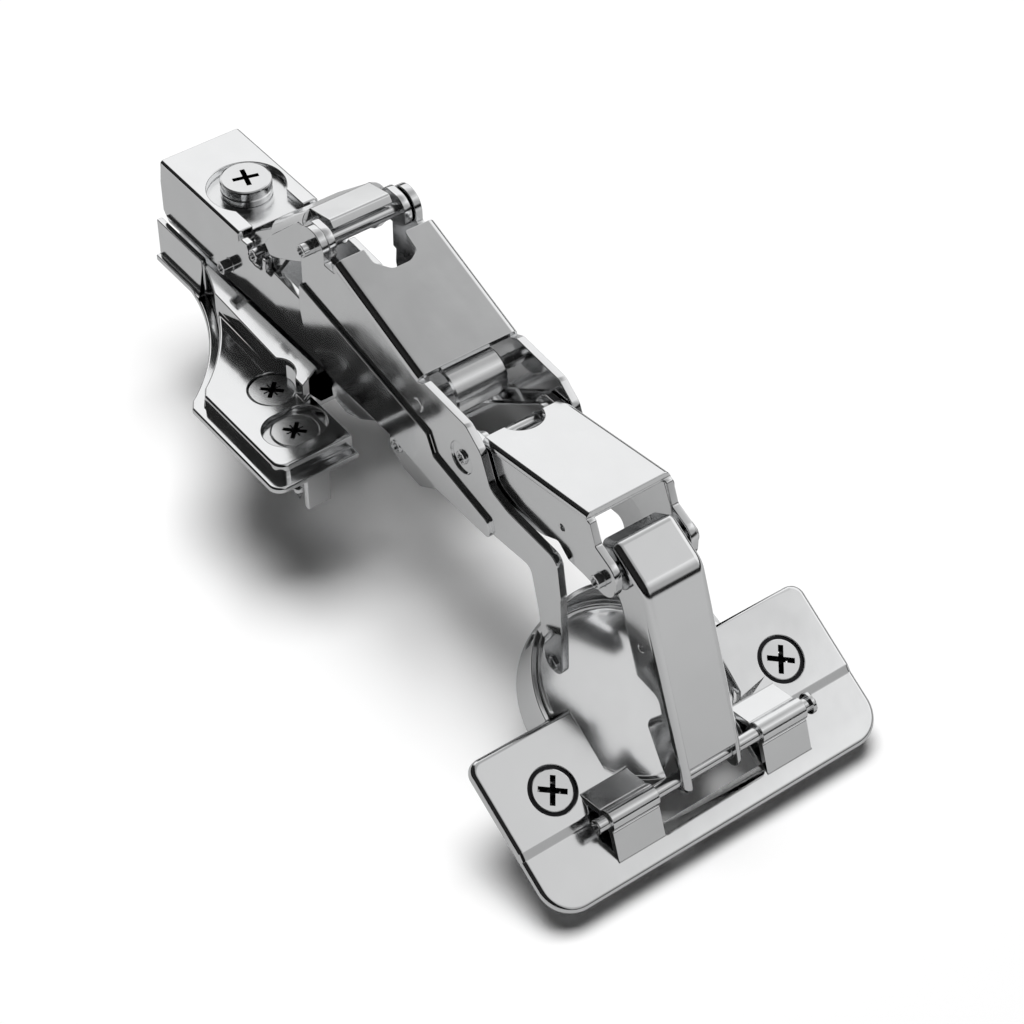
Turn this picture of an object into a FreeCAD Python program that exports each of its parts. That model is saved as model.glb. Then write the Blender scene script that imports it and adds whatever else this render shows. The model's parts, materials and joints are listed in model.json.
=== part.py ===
"""Seven-pivot wide-angle concealed hinge for a lazy susan cabinet door.

The hinge is drawn as it stands half way through its travel, with the cup
tipped forward. X runs from the back of the arm to the door, Y across the
hinge and Z up from the cabinet panel. The pieces are drawn with X from the
arm's back edge and Z from the arm's top face. They are moved at the end, so
that the origin lies on the panel, midway between the two round screw holes.

A scissor of two levers that cross at the centre pin carries the cup. The rear
link ties the outer lever to the arm, and the front link ties the inner lever
to the cup. The folded sheets nest in each other, with a gap at each side.
"""
import FreeCAD, Part
import math
import os

# Pivots in the side view, in the drawn position: X, Z
REAR_PIVOT = (31.8, -1.65)
BRIDGE_PIVOT = (53.8, 15.04)
NOSE_PIVOT = (75.4, -15.21)
CENTRE_PIVOT = (96.3, -1.69)
KNEE_PIVOT = (131.2, -2.69)

# Cup flange: where its top face lies at the screws, and how far it is tipped
FLANGE_AT = (139.73, -34.33)
FLANGE_TILT = 30.7
KNUCKLE_AHEAD = 8.72
KNUCKLE_RISE = 3.47
FOOT_BEHIND = 18.3
FOOT_DEPTH = 4.2

# Half widths of the nested sheets, outside faces
ARM_HALF = 8.6
REAR_LINK_HALF = 8.45
INNER_LEVER_HALF = 8.4
OUTER_LEVER_HALF = 10.2
JOGGLE = 0.7
FRONT_LINK_HALF = 6.2
NARROW_LEG_HALF = 6.95

# Sheet thicknesses and bends
ARM_SHEET = 1.5
LEVER_SHEET = 1.5
LINK_SHEET = 1.5
ARM_BEND = 0.8
LEVER_BEND = 1.5
INNER_BEND = 1.2
LINK_BEND = 1.5

# Pins and their running clearance, all radial
PIN_RADIUS = 1.25
AXLE_RADIUS = 1.2
RUNNING = 0.05
RIVET_BORE = 0.7
RIVET_DEPTH = 1.6
REAR_PIN_PLAY = 1.25

# Arm
ARM_LENGTH = 86.5
ARM_ROOF_LENGTH = 26.4
ARM_WALL_HEIGHT = 13.6
KEYHOLE_RADIUS = 7.3
KEYHOLE_SLOT_HALF = 5.3
FIXING_SCREW_X = 16.0
ARM_RIVET_AT = (22.7, -9.6)
ARM_RIVET_END = 2.0

# Fixing screw, its washer and the plate it clamps
HEAD_RADIUS = 4.76
HEAD_TOP = 2.0
WASHER_THICK = 1.5
SHANK_RADIUS = 2.0
SLIDE_TRAVEL = 2.0
SLIDE_PLATE_THICK = 1.6
SLIDE_GAP = 0.1

# Carrier that stands on the mounting plate inside the arm
CARRIER_SHEET = 1.8
CARRIER_SIDE_GAP = 0.2
CARRIER_FROM = 1.5
CARRIER_ROOF_END = 25.6
CARRIER_FOOT_END = 50.0
CARRIER_TAB = (23.4, 28.6)
CARRIER_TAB_HALF = 9.25
CARRIER_TAB_SHEET = 0.8
CARRIER_RIVET_RADIUS = 2.0

# Mounting plate
PLATE_BOTTOM = -22.5
PLATE_SHEET = 1.2
PLATE_BACK = -0.8
PLATE_FRONT = 67.2
PLATE_HALF = 28.6
PLATE_NECK_HALF = 11.0
RIM_WIDTH = 2.0
FIELD_HEIGHT = 4.0
LEDGE_HEIGHT = 7.5
LEDGE_HALF_BACK = 11.2
LEDGE_HALF_FRONT = 13.3
LEDGE_END = 52.0
STEP_END = 14.6
STEP_HEIGHT = 10.2
WING_HOLLOW = (27.6, 17.2)
CHANNEL_GAP = 0.3
FRONT_CHANNEL_HALF = 11.4
PANEL_SCREW_X = 47.0
PANEL_SCREW_SPACING = 32.0
SLOT_SCREW_X = 57.5
SLOT_SCREW_Y = 18.2
SLOT_LENGTH = 12.0
SCREW_HEAD_RADIUS = 4.2
SCREW_SHANK_RADIUS = 1.9
SCREW_REACH = 13.5
SCREW_SEAT_GAP = 0.2
SCREW_RIM = 0.6
LUG_WIDTH = 4.8
LUG_Y = 19.9
LUG_DROP = 6.5

# Cup and flange
CUP_RADIUS = 17.5
CUP_DEPTH = 12.0
CUP_SHEET = 0.8
CUP_BEHIND = 9.5
CUP_LIP = 0.9
FLANGE_SHEET = 1.8
FLANGE_BACK = 10.3
FLANGE_FRONT = 19.0
FLANGE_HALF = 34.8
FLANGE_CORNER = 6.0
CUP_SCREW_SPACING = 48.0
CUP_SCREW_HEAD = 4.2
CUP_SCREW_SHANK = 1.75
CUP_SCREW_REACH = 11.0
SCREW_SINK = 0.1
FOOT_ROOM = 0.4
FOOT_SLOT_DEPTH = 10.0
BACK_NOTCH_DEPTH = 3.2
CREASE = (6.2, 7.6)
CREASE_DROP = 0.5
MOUTH_FRONT = 1.3
MOUTH_HALF = 14.2
SLOT_FRONT = 15.1
SLOT_HALF = 10.6
KNUCKLE_FROM = 10.8
KNUCKLE_TO = 20.3
KNUCKLE_RADIUS = 2.0
KNUCKLE_BASE = (2.6, 15.6)
KNUCKLE_SHOULDER = 2.2
CUP_PIN_LEFT = 22.5
CUP_PIN_RIGHT = 22.5

# Roof lines of the folded levers, outer faces, and the small holes in their sides
REAR_ROOF = ((36.9, 8.6), (47.5, 17.2))
OUTER_ROOF = ((61.0, 16.3), (84.8, 7.7))
INNER_ROOF = ((99.6, 4.1), (127.0, 8.2))
FRONT_ROOF = ((127.6, 1.5), (131.3, 3.6, 1.6), (139.2, -0.8, 4.5), (150.8, -32.5))
INNER_HOLE = (121.1, 0.7)
FRONT_HOLE = (139.0, -13.1)
BRIDGE_HALF = 6.1
CENTRE_RECESS = 3.0
CENTRE_RECESS_DEPTH = 0.4
THROUGH = 12.0

# Cam roller between the sides of the outer lever
ROLLER_AT = (84.5, 1.5)
ROLLER_RADIUS = 4.3
ROLLER_HALF = 5.3


def vector(x, y, z):
    return FreeCAD.Vector(x, y, z)


def rounded_wire(corners, lift):
    """Closed wire through corners (a, b) or (a, b, radius); lift makes 3-D points."""
    points = []
    for corner in corners:
        points.append(vector(corner[0], corner[1], 0))
    count = len(points)
    starts = []
    arcs = []
    ends = []
    for index, corner in enumerate(corners):
        here = points[index]
        radius = corner[2] if len(corner) > 2 else 0
        if radius == 0:
            starts.append(here)
            arcs.append(None)
            ends.append(here)
            continue
        back = (points[index - 1] - here).normalize()
        ahead = (points[(index + 1) % count] - here).normalize()
        half = back.getAngle(ahead) / 2
        middle = (back + ahead).normalize()
        starts.append(here + back * (radius / math.tan(half)))
        arcs.append(here + middle * (radius / math.sin(half) - radius))
        ends.append(here + ahead * (radius / math.tan(half)))
    edges = []
    for index in range(count):
        if arcs[index] is not None:
            trio = [lift(starts[index]), lift(arcs[index]), lift(ends[index])]
            edges.append(Part.Arc(*trio).toShape())
        following = (index + 1) % count
        start = lift(ends[index])
        end = lift(starts[following])
        if start.distanceToPoint(end) > 1e-6:
            edges.append(Part.makeLine(start, end))
    return Part.Wire(edges)


def side_plate(corners, y_from, y_to):
    """Plate cut to a side-view outline, between two distances from the middle."""
    wire = rounded_wire(corners, lambda p: vector(p.x, y_from, p.y))
    return Part.Face(wire).extrude(vector(0, y_to - y_from, 0))


def flat_plate(corners, z_from, z_to):
    """Plate cut to a plan outline, between two heights."""
    wire = rounded_wire(corners, lambda p: vector(p.x, p.y, z_from))
    return Part.Face(wire).extrude(vector(0, 0, z_to - z_from))


def both_sides(shape):
    return [shape, shape.mirror(vector(0, 0, 0), vector(0, 1, 0))]


def cross_bar(at, radius, y_from, y_to):
    return Part.makeCylinder(radius, y_to - y_from, vector(at[0], y_from, at[1]), vector(0, 1, 0))


def block(x_from, x_to, y_from, y_to, z_from, z_to):
    corner = vector(x_from, y_from, z_from)
    return Part.makeBox(x_to - x_from, y_to - y_from, z_to - z_from, corner)


def fuse(shapes):
    shapes = list(shapes)
    joined = shapes[0].multiFuse(shapes[1:])
    return joined.removeSplitter()


def folded_roof(start, end, half_width, sheet, bend, skirt):
    """Roof and its two bends along a straight line in the side view.

    start and end lie on the roof's outer face. skirt is how far the bent
    sides reach down past the bend, into the side plates.
    """
    low = bend + skirt
    inner = bend - sheet
    run = vector(end[0] - start[0], 0, end[1] - start[1])
    along = vector(run.x, 0, run.z).normalize()
    down = vector(along.z, 0, -along.x)
    if down.z > 0:
        down = down * -1
    inside = half_width - sheet

    def lift(p):
        return vector(start[0], 0, start[1]) + vector(0, p.x, 0) + down * p.y

    corners = [
        (-half_width, low), (-half_width, 0, bend), (half_width, 0, bend), (half_width, low),
        (inside, low), (inside, sheet, max(inner, 0)), (-inside, sheet, max(inner, 0)),
        (-inside, low),
    ]
    return Part.Face(rounded_wire(corners, lift)).extrude(run)


def inner_line(points, distance):
    """A line through points, moved by distance to the right of its run."""
    normals = []
    for start, end in zip(points, points[1:]):
        along = vector(end[0] - start[0], end[1] - start[1], 0).normalize()
        normals.append(vector(along.y, -along.x, 0))
    moved = []
    for index, point in enumerate(points):
        before = normals[max(index - 1, 0)]
        after = normals[min(index, len(normals) - 1)]
        middle = (before + after).normalize()
        shift = middle * (distance / middle.dot(before))
        moved.append((point[0] + shift.x, point[1] + shift.y))
    return moved


def folded_hood(roof, rest, half_width, sheet, bend, away):
    """Channel whose roof follows several straight runs, cut from one solid block.

    roof lists the outer corners of the roof from left to right, with a bend
    radius, rest closes the side outline, and away is a direction out of the
    channel's open side.
    """
    block_shape = side_plate(roof + rest, -half_width, half_width)
    low = [(corner[0], corner[1]) for corner in roof]
    edges = []
    for edge in block_shape.Edges:
        middle = edge.valueAt((edge.FirstParameter + edge.LastParameter) / 2)
        level = edge.BoundBox.YLength < 0.01
        if level and near_line(low, middle.x, middle.z, bend):
            edges.append(edge)
    block_shape = block_shape.makeFillet(bend, edges)
    inside = inner_line(low, sheet)
    far = [(inside[-1][0] + away[0] - 2, inside[-1][1] + away[1]),
           (inside[0][0] + away[0], inside[0][1] + away[1] - 30), (inside[0][0] - 6, inside[0][1] - 4)]
    start = (2 * inside[0][0] - inside[1][0], 2 * inside[0][1] - inside[1][1])
    end = (2 * inside[-1][0] - inside[-2][0], 2 * inside[-1][1] - inside[-2][1])
    room = [start] + inside[1:-1] + [end] + far
    return block_shape.cut(side_plate(room, -half_width + sheet, half_width - sheet))


def near_line(points, x, z, reach):
    """Whether a place lies within reach of a line through points."""
    for start, end in zip(points, points[1:]):
        run = vector(end[0] - start[0], end[1] - start[1], 0)
        offset = vector(x - start[0], z - start[1], 0)
        share = max(0, min(1, offset.dot(run) / run.dot(run)))
        if (offset - run * share).Length < reach / 2:
            return True
    return False


def riveted_pin(at, radius, left_end, right_end, head_radius, head_thick):
    """Pin across the hinge: hollow riveted end at the left, flat head at the right."""
    pin = cross_bar(at, radius, -left_end, right_end)
    bore = cross_bar(at, RIVET_BORE, -left_end, -left_end + RIVET_DEPTH)
    head = cross_bar(at, head_radius, right_end - head_thick, right_end)
    return pin.cut(bore).fuse(head).removeSplitter()


def screw_recess(centre, radius, depth, turn):
    """Cross recess in a screw head whose top lies at centre."""
    width = radius * 0.28
    cuts = []
    for angle in (turn, turn + 90):
        bar = Part.makeBox(2 * radius, width, depth, vector(-radius, -width / 2, -depth))
        bar.rotate(vector(0, 0, 0), vector(0, 0, 1), angle)
        cuts.append(bar)
    cross = cuts[0].fuse(cuts[1])
    cross.translate(centre)
    return cross


def countersunk_screw(x, y, top, head_radius, shank_radius, depth, reach):
    """Wood screw, head up: its cone ends at depth below the top, then shank and point."""
    tip = 2 * shank_radius
    length = depth + reach
    axis = [
        vector(0, 0, 0), vector(head_radius, 0, 0), vector(head_radius, 0, -SCREW_RIM),
        vector(shank_radius, 0, -depth), vector(shank_radius, 0, -length + tip),
        vector(0, 0, -length),
    ]
    face = Part.Face(Part.makePolygon(axis + axis[:1]))
    screw = face.revolve(vector(0, 0, 0), vector(0, 0, 1), 360)
    screw = screw.cut(screw_recess(vector(0, 0, 0), head_radius * 0.55, 1.4, 45))
    screw.translate(vector(x, y, top))
    return screw


def wing_outline(inset):
    """Half of the mounting plate's plan, set in from its edge by inset."""
    neck = PLATE_NECK_HALF - inset
    half = PLATE_HALF - inset
    front = PLATE_FRONT - inset
    back = PLATE_BACK + inset
    neck_end = vector(11.3, -neck, 0)
    wing_start = vector(38.4 + inset * 0.6, -half + 1.2, 0)
    hollow = vector(WING_HOLLOW[0] + inset * 0.55, -WING_HOLLOW[1] + inset * 0.85, 0)
    corner = 2.4
    edges = [
        Part.makeLine(vector(back, 0, 0), vector(back, -neck, 0)),
        Part.makeLine(vector(back, -neck, 0), neck_end),
        Part.Arc(neck_end, hollow, wing_start).toShape(),
        Part.makeLine(wing_start, vector(wing_start.x + 1.8, -half, 0)),
        Part.makeLine(vector(wing_start.x + 1.8, -half, 0), vector(front - corner, -half, 0)),
        Part.Arc(vector(front - corner, -half, 0),
                 vector(front - corner * 0.293, -half + corner * 0.293, 0),
                 vector(front, -half + corner, 0)).toShape(),
        Part.makeLine(vector(front, -half + corner, 0), vector(front, 0, 0)),
        Part.makeLine(vector(front, 0, 0), vector(back, 0, 0)),
    ]
    return Part.Wire(edges)


def wing_slab(inset, z_from, z_to):
    face = Part.Face(wing_outline(inset))
    face.translate(vector(0, 0, z_from))
    return face.extrude(vector(0, 0, z_to - z_from))


def ledge_slab(inset, z_from, z_to):
    """Raised strip beside the arm: the field's outline, narrowed to the ledge."""
    inward = inset - RIM_WIDTH
    edge = ARM_HALF + CHANNEL_GAP + inward
    strip = flat_plate([
        (PLATE_BACK, -edge), (PLATE_BACK, -LEDGE_HALF_BACK + inward),
        (LEDGE_END + 1 - inward, -LEDGE_HALF_FRONT + inward), (LEDGE_END - 1 - inward, -edge),
    ], z_from, z_to)
    return wing_slab(inset, z_from, z_to).common(strip)


def panel_screw_places():
    return [(PANEL_SCREW_X, PANEL_SCREW_SPACING / 2), (SLOT_SCREW_X, SLOT_SCREW_Y)]


def slot_opening(radius, z_from, z_to):
    """Round-ended slot along Y at the second screw, for a head of this radius."""
    half = SLOT_LENGTH / 2
    corners = [
        (SLOT_SCREW_X - radius, -SLOT_SCREW_Y - half, radius * 0.999),
        (SLOT_SCREW_X + radius, -SLOT_SCREW_Y - half, radius * 0.999),
        (SLOT_SCREW_X + radius, -SLOT_SCREW_Y + half, radius * 0.999),
        (SLOT_SCREW_X - radius, -SLOT_SCREW_Y + half, radius * 0.999),
    ]
    return flat_plate(corners, z_from, z_to)


def make_mounting_plate():
    """Winged plate pressed from one sheet, hollow beneath its raised fields."""
    top = PLATE_BOTTOM + FIELD_HEIGHT
    ledge_top = PLATE_BOTTOM + LEDGE_HEIGHT
    channel = ARM_HALF + CHANNEL_GAP
    floor = PLATE_BOTTOM + PLATE_SHEET
    deeper = RIM_WIDTH + PLATE_SHEET
    half = wing_slab(0, PLATE_BOTTOM, floor)
    half = half.fuse(wing_slab(RIM_WIDTH, PLATE_BOTTOM, top))
    half = half.fuse(ledge_slab(RIM_WIDTH, PLATE_BOTTOM, ledge_top))
    hollow = wing_slab(deeper, PLATE_BOTTOM, top - PLATE_SHEET)
    hollow = hollow.fuse(ledge_slab(deeper, PLATE_BOTTOM, ledge_top - PLATE_SHEET))
    walls = block(PLATE_BACK, LEDGE_END, -channel - PLATE_SHEET, 0, PLATE_BOTTOM, ledge_top)
    walls = walls.fuse(block(LEDGE_END, PLATE_FRONT, -FRONT_CHANNEL_HALF - PLATE_SHEET, 0,
                             PLATE_BOTTOM, ledge_top))
    half = half.cut(hollow.cut(walls))
    step = wing_slab(0, PLATE_BOTTOM, PLATE_BOTTOM + STEP_HEIGHT)
    half = half.fuse(step.common(block(PLATE_BACK, STEP_END, -LEDGE_HALF_BACK, -channel,
                                       PLATE_BOTTOM, 0)))
    half = half.cut(block(PLATE_BACK - 1, PLATE_FRONT + 1, -channel, 1, floor, 0))
    half = half.cut(block(LEDGE_END, PLATE_FRONT + 1, -FRONT_CHANNEL_HALF, 1, PLATE_BOTTOM - 1, 0))
    hole_x, hole_y = panel_screw_places()[0]
    round_hole = Part.makeCylinder(SCREW_HEAD_RADIUS + SCREW_SEAT_GAP, LEDGE_HEIGHT,
                                   vector(hole_x, -hole_y, PLATE_BOTTOM))
    half = half.cut(round_hole)
    half = half.cut(slot_opening(SCREW_HEAD_RADIUS + SCREW_SEAT_GAP, PLATE_BOTTOM, top + 1))
    lug_from = -LUG_Y - LUG_WIDTH / 2
    lug = block(PLATE_FRONT - PLATE_SHEET, PLATE_FRONT, lug_from, lug_from + LUG_WIDTH,
                PLATE_BOTTOM - LUG_DROP, floor)
    half = half.fuse(lug)
    for x in (CARRIER_FROM + 6, CARRIER_FOOT_END - 7):
        half = half.cut(Part.makeCylinder(CARRIER_RIVET_RADIUS, PLATE_SHEET * 3,
                                          vector(x, 0, PLATE_BOTTOM - PLATE_SHEET)))
    return fuse(both_sides(half))


def make_clamp_straps():
    """Flat bars inside the plate's hollows, on which the screw heads seat."""
    top = PLATE_BOTTOM + FIELD_HEIGHT - PLATE_SHEET
    margin = RIM_WIDTH + PLATE_SHEET + 0.4
    x_from = PANEL_SCREW_X - 2 * SCREW_SHANK_RADIUS - 2
    inner = FRONT_CHANNEL_HALF + PLATE_SHEET + 0.4
    corners = [
        (x_from, -PLATE_HALF + margin + 1, 1), (PLATE_FRONT - margin, -PLATE_HALF + margin, 1),
        (PLATE_FRONT - margin, -inner, 1), (x_from, -inner, 1),
    ]
    strap = flat_plate(corners, PLATE_BOTTOM, top)
    x, y = panel_screw_places()[0]
    strap = strap.cut(panel_screw_seat(x, -y, PLATE_BOTTOM + FIELD_HEIGHT - SCREW_SEAT_GAP))
    x, y = panel_screw_places()[1]
    strap = strap.cut(panel_screw_seat(x, -y, top + SCREW_SEAT_GAP))
    return Part.makeCompound(both_sides(strap))


def countersink(wide, narrow, depth):
    """Room for a countersunk screw whose cone ends at depth below its top."""
    points = [
        vector(0, 0, 3), vector(wide, 0, 3), vector(wide, 0, -SCREW_RIM),
        vector(narrow, 0, -depth), vector(narrow, 0, -depth - 1), vector(0, 0, -depth - 1),
    ]
    face = Part.Face(Part.makePolygon(points + points[:1]))
    return face.revolve(vector(0, 0, 0), vector(0, 0, 1), 360)


def panel_screw_seat(x, y, top):
    seat = countersink(SCREW_HEAD_RADIUS + RUNNING, SCREW_SHANK_RADIUS + RUNNING,
                       top - PLATE_BOTTOM)
    seat.translate(vector(x, y, top))
    return seat


def make_panel_screws():
    tops = [PLATE_BOTTOM + FIELD_HEIGHT - SCREW_SEAT_GAP,
            PLATE_BOTTOM + FIELD_HEIGHT - PLATE_SHEET + SCREW_SEAT_GAP]
    screws = []
    for place, top in zip(panel_screw_places(), tops):
        screw = countersunk_screw(place[0], -place[1], top, SCREW_HEAD_RADIUS,
                                  SCREW_SHANK_RADIUS, top - PLATE_BOTTOM, SCREW_REACH)
        screws += both_sides(screw)
    return Part.makeCompound(screws)


def carrier_top():
    return -ARM_SHEET - SLIDE_PLATE_THICK - SLIDE_GAP


def make_carrier():
    """Folded channel riveted to the plate; the arm slides along it."""
    half = ARM_HALF - ARM_SHEET - CARRIER_SIDE_GAP
    top = carrier_top()
    foot = PLATE_BOTTOM + PLATE_SHEET
    bend = CARRIER_SHEET + 0.2
    outline = [
        (CARRIER_FROM, top - bend), (CARRIER_ROOF_END, top - bend),
        (CARRIER_ROOF_END + 4, -11.0, 2), (CARRIER_FOOT_END, -15.0, 2),
        (CARRIER_FOOT_END, foot), (CARRIER_FROM, foot),
    ]
    legs = both_sides(side_plate(outline, half - CARRIER_SHEET, half))
    roof = folded_roof((CARRIER_FROM, top), (CARRIER_ROOF_END, top), half, CARRIER_SHEET, bend, 1)
    base = block(CARRIER_FROM, CARRIER_FOOT_END, -half, half, foot, foot + CARRIER_SHEET)
    ledge_top = PLATE_BOTTOM + LEDGE_HEIGHT
    tabs = both_sides(block(CARRIER_TAB[0], CARRIER_TAB[1], half - CARRIER_SHEET,
                            CARRIER_TAB_HALF, ledge_top, ledge_top + CARRIER_TAB_SHEET))
    carrier = fuse(legs + [roof, base] + tabs)
    reach = SLIDE_TRAVEL + PIN_RADIUS + 0.3
    guide = [
        (ARM_RIVET_AT[0] - reach, ARM_RIVET_AT[1] - PIN_RADIUS - RUNNING, PIN_RADIUS),
        (ARM_RIVET_AT[0] + reach, ARM_RIVET_AT[1] - PIN_RADIUS - RUNNING, PIN_RADIUS),
        (ARM_RIVET_AT[0] + reach, ARM_RIVET_AT[1] + PIN_RADIUS + RUNNING, PIN_RADIUS),
        (ARM_RIVET_AT[0] - reach, ARM_RIVET_AT[1] + PIN_RADIUS + RUNNING, PIN_RADIUS),
    ]
    carrier = carrier.cut(side_plate(guide, -ARM_HALF, ARM_HALF))
    carrier = carrier.cut(Part.makeCylinder(SHANK_RADIUS + RUNNING, 4,
                                            vector(FIXING_SCREW_X, 0, top - 3)))
    for x in (CARRIER_FROM + 6, CARRIER_FOOT_END - 7):
        hole = Part.makeCylinder(CARRIER_RIVET_RADIUS, 4, vector(x, 0, foot - 1))
        carrier = carrier.cut(hole)
    return carrier


def make_carrier_rivets():
    """Two rivets through the carrier's floor and the plate."""
    floor = PLATE_BOTTOM + PLATE_SHEET + CARRIER_SHEET
    rivets = []
    for x in (CARRIER_FROM + 6, CARRIER_FOOT_END - 7):
        shank = Part.makeCylinder(CARRIER_RIVET_RADIUS, floor - PLATE_BOTTOM,
                                  vector(x, 0, PLATE_BOTTOM))
        head = Part.makeCylinder(CARRIER_RIVET_RADIUS + 1.2, 1.0, vector(x, 0, floor))
        rivets.append(shank.fuse(head).removeSplitter())
    return Part.makeCompound(rivets)


def make_arm():
    """Long channel: roofed at the back, open above at the front, with a drooping nose."""
    nose_x, nose_z = NOSE_PIVOT
    rear_x = REAR_PIVOT[0]
    roof = folded_roof((0, 0), (ARM_ROOF_LENGTH, 0), ARM_HALF, ARM_SHEET, ARM_BEND, 0.6)
    wall = [
        (0, -ARM_BEND), (ARM_ROOF_LENGTH, -ARM_BEND), (ARM_ROOF_LENGTH, -2.0),
        (ARM_ROOF_LENGTH + 1.0, -0.9, 0.6), (rear_x + 3.4, -0.9), (rear_x + 3.4, -3.2, 0.4),
        (rear_x + 5.2, -3.2, 0.4), (rear_x + 6.2, -1.6, 0.5), (46.4, -2.2, 2),
        (nose_x - 9, nose_z + 4.8, 4), (nose_x + 4.5, nose_z + 3.9, 2),
        (ARM_LENGTH, nose_z - 0.9, 0.8), (ARM_LENGTH - 0.3, nose_z - 2.2, 0.8),
        (nose_x + 6.3, nose_z - 4.9, 1), (nose_x + 1.5, nose_z - 4.3, 1),
        (nose_x - 2.6, nose_z - 1.9, 0.6), (nose_x - 2.6, nose_z + 1.1, 0.5),
        (nose_x - 6.0, nose_z + 1.2, 1), (63.7, -17.7, 1.5), (59.3, -19.3, 1.2),
        (55.3, -18.3, 1), (54.1, -ARM_WALL_HEIGHT, 0.6), (1.1, -ARM_WALL_HEIGHT, 0.8),
        (-0.6, -11.6, 0.6), (-0.6, -5), (0, -ARM_BEND - 0.6),
    ]
    walls = both_sides(side_plate(wall, ARM_HALF - ARM_SHEET, ARM_HALF))
    arm = fuse(walls + [roof])
    keyhole = Part.makeCylinder(KEYHOLE_RADIUS, 4, vector(FIXING_SCREW_X, 0, -2))
    slot = block(FIXING_SCREW_X, ARM_ROOF_LENGTH + 1, -KEYHOLE_SLOT_HALF, KEYHOLE_SLOT_HALF, -2, 2)
    arm = arm.cut(keyhole.fuse(slot).common(block(-1, ARM_LENGTH, -ARM_HALF, ARM_HALF, -2, 2)))
    play = cross_bar(REAR_PIVOT, PIN_RADIUS + REAR_PIN_PLAY, -ARM_HALF - 1, ARM_HALF + 1)
    arm = arm.cut(play)
    for lobe in (45, 135, 225, 315):
        angle = math.radians(lobe)
        reach = PIN_RADIUS + REAR_PIN_PLAY - 0.5
        centre = (REAR_PIVOT[0] + reach * math.cos(angle), REAR_PIVOT[1] + reach * math.sin(angle))
        arm = arm.cut(cross_bar(centre, 0.9, -ARM_HALF - 1, ARM_HALF + 1))
    for at in (NOSE_PIVOT, ARM_RIVET_AT):
        arm = arm.cut(cross_bar(at, PIN_RADIUS, -ARM_HALF - 1, ARM_HALF + 1))
    return arm


def make_slide_plate():
    """Flat plate beneath the arm's roof; the fixing screw clamps it to the carrier."""
    half = ARM_HALF - ARM_SHEET - 0.05
    reach = SLIDE_TRAVEL + SHANK_RADIUS + 0.3
    plate = block(CARRIER_FROM + 1, CARRIER_ROOF_END, -half, half,
                  -ARM_SHEET - SLIDE_PLATE_THICK, -ARM_SHEET)
    slot = [
        (FIXING_SCREW_X - reach, -SHANK_RADIUS - 0.3, 2), (FIXING_SCREW_X + reach, -SHANK_RADIUS - 0.3, 2),
        (FIXING_SCREW_X + reach, SHANK_RADIUS + 0.3, 2), (FIXING_SCREW_X - reach, SHANK_RADIUS + 0.3, 2),
    ]
    return plate.cut(flat_plate(slot, -ARM_SHEET - SLIDE_PLATE_THICK - 1, 0))


def make_fixing_screw():
    """Machine screw whose flat head and washer stand in the arm's keyhole."""
    washer_top = -ARM_SHEET + RUNNING + WASHER_THICK
    head = Part.makeCylinder(HEAD_RADIUS, HEAD_TOP - washer_top, vector(FIXING_SCREW_X, 0, washer_top))
    edges = []
    for edge in head.Edges:
        if edge.BoundBox.ZMin > HEAD_TOP - 0.01:
            edges.append(edge)
    head = head.makeFillet(0.35, edges)
    shank = Part.makeCylinder(SHANK_RADIUS, washer_top + 9, vector(FIXING_SCREW_X, 0, -9))
    recess = screw_recess(vector(FIXING_SCREW_X, 0, HEAD_TOP), 2.6, 1.3, -16)
    return head.fuse(shank).cut(recess).removeSplitter()


def make_washer():
    ring = Part.makeCylinder(HEAD_RADIUS, WASHER_THICK, vector(FIXING_SCREW_X, 0, -ARM_SHEET + RUNNING))
    return ring.cut(Part.makeCylinder(SHANK_RADIUS, 4, vector(FIXING_SCREW_X, 0, -3)))


def make_arm_rivet():
    end = ARM_HALF + ARM_RIVET_END
    rivet = cross_bar(ARM_RIVET_AT, PIN_RADIUS, -end, end)
    for side in (-1, 1):
        start = side * end
        bore = cross_bar(ARM_RIVET_AT, RIVET_BORE, min(start, start - side * RIVET_DEPTH),
                         max(start, start - side * RIVET_DEPTH))
        rivet = rivet.cut(bore)
    return rivet


def make_nose_pin():
    return riveted_pin(NOSE_PIVOT, PIN_RADIUS, ARM_HALF + 0.5, ARM_HALF + 0.5, PIN_RADIUS, 0.5)


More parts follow.
